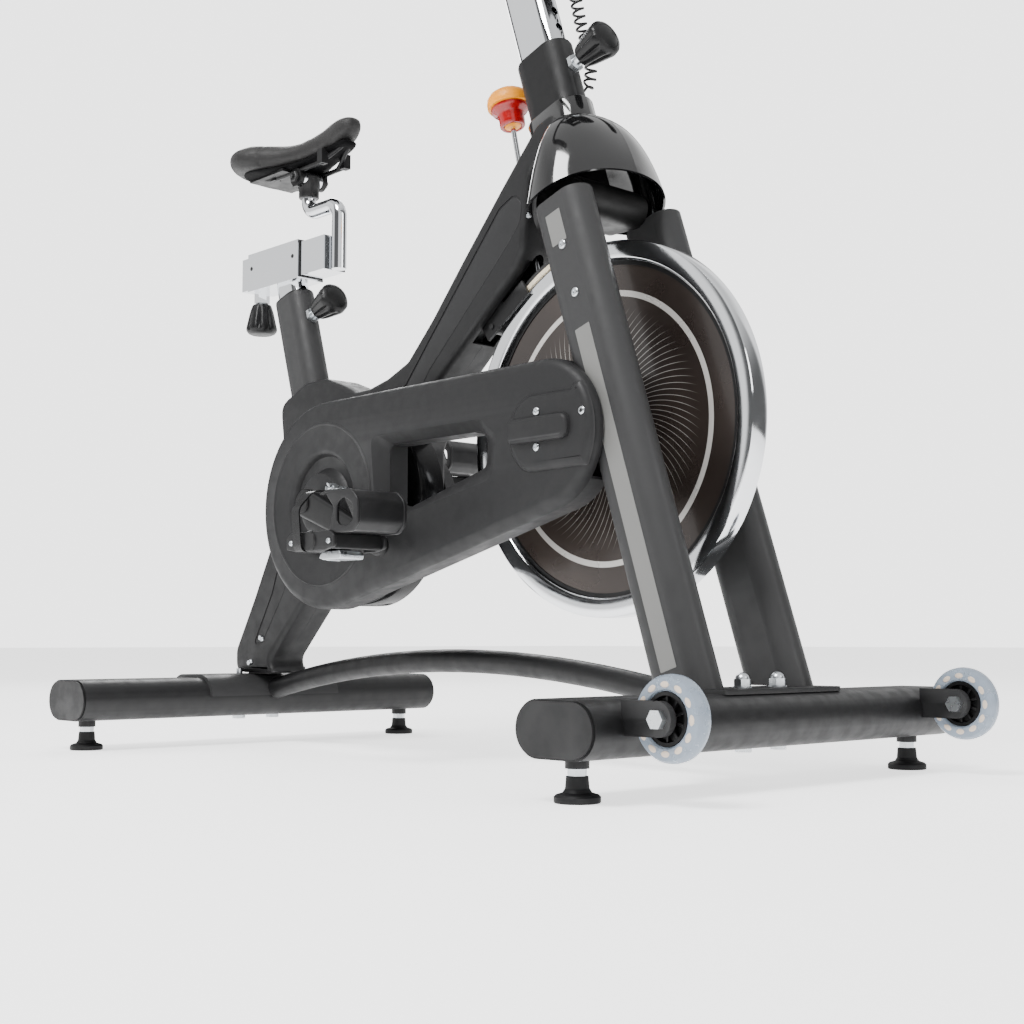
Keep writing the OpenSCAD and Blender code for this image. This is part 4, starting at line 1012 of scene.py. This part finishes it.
def resistance_knob():
    """Red hub between a yellow ring and a yellow domed cap."""
    frame_at = up_lean(ROD_TOP, ROD_LEAN)
    ring = [(3.6, 0.2), (9.5, 0.2), (11, 1.2), (11.2, 5), (3.6, 5)]
    body = [(11.6, 1.5), (13, 0.4), (15.6, 0.6), (16.8, 2.2), (17.2, 8), (17.6, 17), (18.8, 19.5),
            (23.4, 22.5), (25.2, 25), (25.4, 28), (25, 29.5), (11.6, 29.5)]
    cap = [(0, 28.5), (25, 28.6), (28.4, 29), (29.4, 31), (29.6, 36), (28.6, 41.5), (25.5, 46.8),
           (20, 50.6), (11, 52.8), (0, 53.4)]
    parts = [lathe("ring", ring, frame_at, YELLOW, "resistance_dial", n=48, closed=True),
             lathe("body", body, frame_at, RED, "resistance_dial", n=96, closed=True),
             lathe("cap", cap, frame_at, YELLOW, "resistance_dial", n=96)]
    merge("resistance_dial_knob", parts, "resistance_knob")


resistance_knob()


# ---------- pedals, cages and straps ----------

PEDAL_IN, PEDAL_WIDTH = 165.0, 88.0


def crank_arm(side, hand):
    """Arm, end cap and pedal spindle. Gives the place of the spindle."""
    turn = CRANK_DROP if side < 0 else CRANK_DROP + math.pi
    end = (CRANK[0] + CRANK_LENGTH * math.cos(turn), CRANK[1] - CRANK_LENGTH * math.sin(turn))
    waist = hull_of_circles(CRANK, 19.5, end, 13.8, 24)
    arm = plate(f"arm_{hand}", [waist], side * 150.0, side * 136.0, 4.5, BLACK_STEEL, "crankset",
                back_bevel=2.0)
    cap = lathe("cap", [(0, 0), (12, 0), (13.5, 1), (12.5, 3), (0, 3.8)],
                along_y(CRANK, side * 149.5, side), NYLON, "crankset", n=48)
    spindle = lathe("spindle", [(0, -14.5), (9, -14.5), (9, -11), (6, -10.5), (6, 73), (0, 73)],
                    along_y(end, side * 176, side), STEEL, "crankset", n=32)
    merge(f"crank_{hand}", [arm, cap, spindle], f"crank_arm_{hand}")
    return end


class Pedal:
    """One pedal, in millimetres from its spindle: x ahead, y outward, z up."""

    def __init__(self, side, hand, centre):
        self.side, self.hand, self.body = side, hand, f"{hand}_pedal"
        self.x, self.z = centre
        self.make_body(centre)
        self.make_cleat_holder()
        self.make_cage()
        self.make_strap()
        self.make_buckle()
        for k, x in enumerate((-38, 40)):
            sx, sy, sz = self.spot(x, PEDAL_WIDTH - 2.4, -1)
            socket_screw(f"pedal_screw_{hand}_{k}", (sx, sz), sy, side, 3.6, body=self.body)

    def spot(self, x, y, z):
        return self.x + x, self.side * (PEDAL_IN + y), self.z + z

    def slab(self, name, loops, y0, y1, bevel, surface, **more):
        """A plate between two distances from the pedal's inner end."""
        moved = [[(self.x + x, self.z + z) for x, z in loop] for loop in loops]
        return plate(name, moved, self.side * (PEDAL_IN + y1), self.side * (PEDAL_IN + y0), bevel,
                     surface, self.body, back_bevel=bevel, **more)

    def wire(self, name, points, r, **more):
        return sweep(name, [self.spot(*p) for p in points], r, ZINC, self.body, n=10, **more)

    def make_body(self, centre):
        """End plates, front and rear bars, teeth, and the barrel round the spindle."""
        side_plate = rounded([(-49, -9), (-30, -12), (30, -12), (49, -8), (50, 6), (40, 12),
                              (-40, 12), (-50, 6)], 5, 4)
        parts = [self.slab("side", [side_plate], y, y + 5.5, 1.2, PEDAL)
                 for y in (2.5, PEDAL_WIDTH - 8)]
        for x in (-46, 34):
            bar = rounded([(x, -10), (x + 10, -10), (x + 10, 9), (x, 9)], 2.5, 3)
            parts.append(self.slab("bar", [bar], 3, PEDAL_WIDTH - 4, 0.8, PEDAL))
        for k in range(8):
            tooth = [(x + 8.6 * k, z) for x, z in ((-29, 9), (-31, 14), (-34, 14), (-34, 9))]
            parts.append(self.slab("tooth", [tooth], 2.5, 8, 0.4, PEDAL))
        barrel = [(6.1, 0), (13, 0), (14, 1.5), (14, 20), (11.5, 24), (11.5, 64), (13.5, 68),
                  (13.5, 85), (11.5, 88), (0, 88), (0, 86), (6.1, 86)]
        parts.append(lathe("barrel", barrel, along_y(centre, self.side * PEDAL_IN, self.side), PEDAL,
                           self.body, n=48))
        merge(f"pedal_body_{self.hand}", parts, f"pedal_{self.hand}")

    def make_cleat_holder(self):
        """Steel jaw and lever under the pedal, with two pins."""
        jaw = rounded([(-8, -22), (31, -22), (33, -16), (28, -11), (-6, -11)], 3, 3)
        lever = rounded([(-24, -19), (-4, -23), (-4, -17), (-20, -13)], 2, 3)
        metal = [self.slab("jaw", [jaw], 26, 62, 1.0, ZINC),
                 self.slab("lever", [lever], 34, 54, 0.8, ZINC)]
        for y in (30, 58):
            metal.append(lathe("pin", [(0, -2), (3, -2), (3.4, 0), (3, 2), (0, 2)],
                               along_y((self.x + 24, self.z - 17), self.side * (PEDAL_IN + y),
                                       self.side), STEEL, self.body, n=24))
        merge(f"cleat_holder_{self.hand}", metal)

    def make_cage(self):
        """Toe cage: a hooded band closed at the nose, and a cheek with a window on each side."""
        nose = rounded([(38, 9.6), (78, 9.6), (91.5, 20), (91.5, 46), (76, 60), (22, 62), (10, 60),
                        (10, 56.8), (22, 58.2), (73, 56.4), (87.5, 44), (87.5, 22), (77, 13.2),
                        (38, 13.2)], [1, 10, 12, 16, 16, 8, 1, 1, 6, 13, 11, 9, 8, 1], 6)
        cheek = rounded([(34, 8), (80, 8), (92, 19), (92, 48), (78, 60.5), (40, 62), (26, 58),
                         (44, 40), (38, 22)], [3, 12, 12, 16, 14, 6, 6, 10, 6], 6)
        hole = rounded([(50, 19), (50, 44), (64, 51), (82, 42), (82, 22), (72, 16)],
                       [9, 9, 10, 9, 8, 8], 6)
        shell = [self.slab("cage_band", [nose], 10, PEDAL_WIDTH - 10, 1.4, CAGE)]
        for y0, y1 in ((6, 11), (PEDAL_WIDTH - 11, PEDAL_WIDTH - 6)):
            shell.append(self.slab("cheek", [cheek, hole], y0, y1, 1.5, CAGE, hole_bevel=1.5))
        merge(f"toe_cage_shell_{self.hand}", shell, f"toe_cage_{self.hand}")

    def make_strap(self):
        """Strap: a closed band of (y, z) round the pedal and over the cage."""
        outer = rounded([(-3.5, -13), (PEDAL_WIDTH + 3.5, -13), (PEDAL_WIDTH + 5, 40),
                         (PEDAL_WIDTH - 14, 65), (14, 65), (-5, 40)], [10, 10, 20, 16, 16, 20], 7)
        inner = offset_loop(outer, 1.9)
        n = len(outer)
        verts = []
        for x0 in (-26, -10):
            for y, z in outer + inner:
                lean = -6 * max(0.0, min(1.0, z / 60))
                top = 10 * max(0.0, min(1.0, (z - 50) / 15))
                verts.append(self.spot(x0 + lean + top, y, z))
        faces = []
        for i in range(n):
            a, b, c, d = [i + k * n for k in range(4)]
            a2, b2, c2, d2 = [(i + 1) % n + k * n for k in range(4)]
            faces += [(a, a2, c2, c), (b, d, d2, b2), (a, b, b2, a2), (c, c2, d2, d)]
        make(f"strap_{self.hand}", verts, faces, STRAP, self.body, slot="pedal")

    def make_buckle(self):
        """Wire buckle on top of the strap."""
        buckle = [self.wire("wire", [(x, 22, 68), (x, 22, 71), (x, 44, 71.5), (x, 44, 68)], 1.3)
                  for x in (-24, -8)]
        buckle += [self.wire("cross", [(-25, y, 70), (-7, y, 70)], 1.5) for y in (24, 33, 42)]
        buckle.append(self.wire("tongue", [(-16, 24, 70.5), (-15, 38, 74), (-14, 48, 73.5)], 1.7,
                                flat=2.2))
        merge(f"buckle_{self.hand}", buckle)


for s, hand_name in ((-1, "right"), (1, "left")):
    Pedal(s, hand_name, crank_arm(s, hand_name))


# ---------- seat carriage details ----------

for k, (x, z) in enumerate(((-486, 744), (-374, 744))):
    for s in (-1, 1):
        lathe(f"carriage_dot_{k}_{s + 1}", [(0, 0.5), (3, 0.5), (3.4, 0.1), (3.4, -1), (0, -1)],
              along_y((x, z), s * 24.0, s), NYLON, "seat_column", n=24, slot="nylon")


# ---------- saddle ----------

# Along the cushion: x, half width, top, underside, and how far the middle of the rear dips
SADDLE = [(-496, 22, 900, 884, 1.2), (-488, 60, 915, 881.5, 1.92), (-470, 84, 923, 880.6, 2.64),
          (-446, 90, 925, 880.6, 3.12), (-420, 80, 922, 881, 3.12), (-392, 56, 917, 883, 0),
          (-362, 38, 916, 886, 0), (-330, 29, 922, 890, 0), (-300, 25, 931, 896, 0),
          (-272, 23, 939, 904, 0), (-252, 17, 941, 914, 0), (-243, 8, 936, 924, 0)]


def cushion_form():
    """The cushion lofted from rear to nose, and remeshed evenly."""
    n = 40
    verts = []
    for x, half, top, low, dip in SADDLE:
        mid = (top + low) / 2
        for k in range(n):
            a = 2 * math.pi * k / n
            c, q = math.cos(a), math.sin(a)
            if q >= 0:
                z = mid + (top - mid) * q ** 0.75 - dip * (1 - abs(c))
            else:
                z = mid - (mid - low) * abs(q) ** 0.55
            verts.append((x, half * math.copysign(abs(c) ** 0.72, c), z))
    cushion = make("saddle_pad", verts, closed_faces(len(SADDLE), n), VINYL, None, sharp=180)
    sub = cushion.modifiers.new("sub", "SUBSURF")
    sub.levels = sub.render_levels = 2
    even = cushion.modifiers.new("even", "REMESH")
    even.mode, even.voxel_size = "VOXEL", 4.5 * MM
    apply_modifiers(cushion)
    return cushion


def saddle():
    """The cushion, swollen a little as cloth over foam."""
    cushion = cushion_form()
    swell(cushion, 4.0 * MM)
    smooth = cushion.modifiers.new("smooth", "SMOOTH")
    smooth.factor, smooth.iterations = 0.5, 4
    sub = cushion.modifiers.new("sub", "SUBSURF")
    sub.levels = sub.render_levels = 1
    apply_modifiers(cushion)
    seam_groove(cushion)
    shade(cushion.data)
    coat(cushion, VINYL)
    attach(cushion, "saddle")
    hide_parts("saddle_cushion")


# The cushion's underside lies below this height in metres, and hardly sinks
UNDERSIDE_BELOW = 0.9


def swell(obj, cap):
    """Blows the skin out with the cloth solver and limits how far a point may move."""
    start = [v.co.copy() for v in obj.data.vertices]
    cloth = obj.modifiers.new("cloth", "CLOTH")
    s = cloth.settings
    s.use_pressure = True
    s.uniform_pressure_force = 4
    s.effector_weights.gravity = 0
    s.quality = 5
    SCENE.frame_start, SCENE.frame_end = 1, 20
    for f in range(1, 21):
        SCENE.frame_set(f)
    apply_modifiers(obj)
    for v, p in zip(obj.data.vertices, start):
        d = v.co - p
        if d.length > cap:
            d *= cap / d.length
        v.co = p + d
        if p.z < UNDERSIDE_BELOW:
            v.co.z = max(v.co.z, p.z - 0.5 * MM)
    SCENE.frame_set(1)


SEAM_X, SEAM_ABOVE, SEAM_DEEP, SEAM_WIDE = -424, 886, 1.1, 2.6


def seam_groove(obj):
    """Presses the cross seam of the cover a little into the skin."""
    for v in obj.data.vertices:
        x, y, z = v.co / MM
        off = x - BASE_SHIFT - (SEAM_X + 0.0035 * y * y)
        if z > SEAM_ABOVE:
            v.co -= v.normal * SEAM_DEEP * math.exp(-(off / SEAM_WIDE) ** 2) * MM


saddle()


PAN_OUTLINE = [(-480, 34), (-468, 56), (-446, 68), (-420, 62), (-392, 45), (-362, 32), (-330, 25),
               (-300, 21), (-272, 18), (-258, 12)]


def saddle_pan():
    """Moulded pan under the cushion, which rises towards the nose."""
    verts = []
    for x, half in PAN_OUTLINE:
        z = 880.4 + 22 * max(0.0, (x + 400) / 150) ** 1.7
        section = ((-half, 2), (-half * 0.85, -2.4), (0, -3.6), (half * 0.85, -2.4), (half, 2),
                   (half * 0.9, 5), (0, 2.4), (-half * 0.9, 5))
        verts += [(x, y, z + dz) for y, dz in section]
    pan = make("saddle_pan", verts, closed_faces(len(PAN_OUTLINE), len(section)), PAN, "saddle",
               slot="nylon", sharp=60)
    sub = pan.modifiers.new("sub", "SUBSURF")
    sub.levels = sub.render_levels = 2


def saddle_underside():
    """The pan, the two bent rails, and the clamp with its nuts."""
    saddle_pan()
    for s in (-1, 1):
        rail = smooth_path([(-462, s * 30, 884), (-448, s * 30, 880), (-430, s * 24, 876.5),
                            (-400, s * 21, 876), (-330, s * 21, 876), (-312, s * 18, 879),
                            (-288, s * 10, 890), (-272, s * 6, 898)], 6)
        sweep(f"saddle_rail_{s + 1}", rail, 3.6, BLACK_STEEL, "saddle", n=14, slot="nylon")
    nut = [(0, 0), (8, 0), (8.6, 1), (8.6, 5), (7.6, 6), (3.4, 6), (3.4, 9), (0, 9)]
    for s in (-1, 1):
        lathe(f"clamp_nut_{s + 1}", nut, along_y((-366, 866), s * 25, s), BLACK_STEEL, "saddle",
              n=6, slot="nylon", sharp=20)
    clamp = [(0, 836), (14.5, 836), (15.6, 837.5), (15.6, 851), (17, 853), (17, 869), (15, 871),
             (0, 871)]
    lathe("saddle_clamp", clamp, lambda u, v, w: (-366 + u, v, w), BLACK_STEEL, "seat_carriage",
          n=48, slot="chrome")


saddle_underside()


# ---------- handlebar grips and console face ----------

BAR_TOP = leaning(HEAD_TOP, LEAN, 0, 0, 177)
BAR_X, BAR_Z = BAR_TOP[0], BAR_TOP[2] + 6
GRIP_Y = 230


def grip_rings():
    """Soft ribbed sleeves near the ends of the bars."""
    for s in (-1, 1):
        path = [(BAR_X + 62 + 10 * k, s * GRIP_Y, BAR_Z) for k in range(12)]
        radii = [16.9 if k % 2 else 17.6 for k in range(12)]
        sweep(f"bar_grip_{s + 1}", path, radii, FOAM, "handlebar_column", n=32, slot="grip")
        lathe(f"bar_plug_{s + 1}", [(0, 0), (9, 0), (11, 1), (10, 3), (0, 4)],
              lambda u, v, w, s=s: (BAR_X + 203 + w, s * GRIP_Y + u, BAR_Z + v), NYLON,
              "handlebar_column", n=40, slot="grip")


def console_face():
    """Display glass with plain segments, and three keys."""
    tilt = math.radians(-25)
    cx, cz = BAR_X + 75, BAR_Z + 42

    def spot(u, v, w):
        return (cx + u * math.cos(tilt) + w * math.sin(tilt), v,
                cz - u * math.sin(tilt) + w * math.cos(tilt))

    def tile(name, u0, u1, v0, v1, w0, w1, surface):
        loop = rounded([(u0, v0), (u1, v0), (u1, v1), (u0, v1)], min(2.0, (u1 - u0) * 0.3), 3)
        verts, faces = prism(loop, spot, w0, w1)
        return make(name, verts, faces, surface, "handlebar_column")
    parts = [tile("glass", -29, 29, -44, 44, 12.0, 12.9, SCREEN)]
    for row in range(3):
        for digit in range(4):
            u, v = -20 + 16 * row, -34 + 17 * digit
            for u0, u1, v0, v1 in ((0, 1.6, 0, 8), (9, 10.6, 0, 8), (1, 9.6, 7.4, 9)):
                parts.append(tile("seg", u + u0, u + u1, v + v0, v + v1, 12.9, 13.1, INK))
    merge("console_display", parts)
    keys = [tile("key", 34, 40, -30 + 22 * k, -16 + 22 * k, 13.5, 15.4, NYLON) for k in range(3)]
    merge("console_keys", keys)


grip_rings()
console_face()


# ---------- floor and light ----------

def studio():
    """Pale floor that glows a little, and three soft lamps."""
    far = 30
    mesh = bpy.data.meshes.new("floor")
    mesh.from_pydata([(-far, -far, 0), (far, -far, 0), (far, far, 0), (-far, far, 0)], [],
                     [(0, 1, 2, 3)])
    floor = bpy.data.objects.new("floor", mesh)
    SCENE.collection.objects.link(floor)
    pale = Surface("floor_pale", (0.9, 0.9, 0.9, 1), 0.8, tint=0.01, cloud=2, grain=200,
                   lift=0.02, Emission_Color=(1, 1, 1, 1), Emission_Strength=1.5)
    coat(floor, pale)
    studio_world()
    for name, place, target, size, power in (
            ("key", (0.4, -2.2, 3.2), (0, 0, 0.5), 1.3, 170),
            ("back", (-2.8, 1.6, 2.4), (0, 0, 0.6), 1.6, 55),
            ("front", (3.2, 0.9, 1.9), (0.3, 0, 0.5), 1.2, 20)):
        data = bpy.data.lights.new(name, "AREA")
        data.size = size
        data.energy = power
        lamp = bpy.data.objects.new(name, data)
        lamp.location = place
        lamp.rotation_euler = (Vector(target) - Vector(place)).to_track_quat("-Z", "Y").to_euler()
        SCENE.collection.objects.link(lamp)


def studio_world():
    """A white backdrop, and for light and reflections a dim room with tall soft panels."""
    world = bpy.data.worlds.new("studio")
    world.use_nodes = True
    tree = world.node_tree
    tree.nodes.clear()

    def node(kind, **settings):
        n = tree.nodes.new(kind)
        for key, value in settings.items():
            setattr(n, key, value)
        return n

    def maths(operation, *values):
        n = node("ShaderNodeMath", operation=operation)
        for sock, value in zip(n.inputs, values):
            if isinstance(value, bpy.types.NodeSocket):
                tree.links.new(value, sock)
            else:
                sock.default_value = value
        return n.outputs[0]

    def soft(value, low, high):
        n = node("ShaderNodeMapRange", interpolation_type="SMOOTHSTEP")
        tree.links.new(value, n.inputs[0])
        n.inputs[1].default_value, n.inputs[2].default_value = low, high
        return n.outputs[0]
    split = node("ShaderNodeSeparateXYZ")
    tree.links.new(node("ShaderNodeTexCoord").outputs["Generated"], split.inputs[0])
    x, y, z = split.outputs
    turn = maths("MULTIPLY_ADD", maths("ARCTAN2", y, x), 3.0, 2.775)
    panels = soft(maths("SINE", turn), 0.0, 0.5)
    sky = maths("MULTIPLY", soft(z, 0.35, 0.9), 1.2)
    low = maths("SUBTRACT", 1.0, soft(z, 0.5, 0.75))
    band = maths("MULTIPLY", maths("MULTIPLY", panels, low), 1.5)
    room = maths("ADD", maths("ADD", sky, band), 0.18)
    seen = node("ShaderNodeLightPath").outputs["Is Camera Ray"]
    light = node("ShaderNodeBackground")
    tree.links.new(room, light.inputs[1])
    backdrop = node("ShaderNodeBackground")
    backdrop.inputs[1].default_value = 3.8
    either = node("ShaderNodeMixShader")
    tree.links.new(seen, either.inputs[0])
    tree.links.new(light.outputs[0], either.inputs[1])
    tree.links.new(backdrop.outputs[0], either.inputs[2])
    tree.links.new(either.outputs[0], node("ShaderNodeOutputWorld").inputs[0])
    SCENE.world = world


studio()
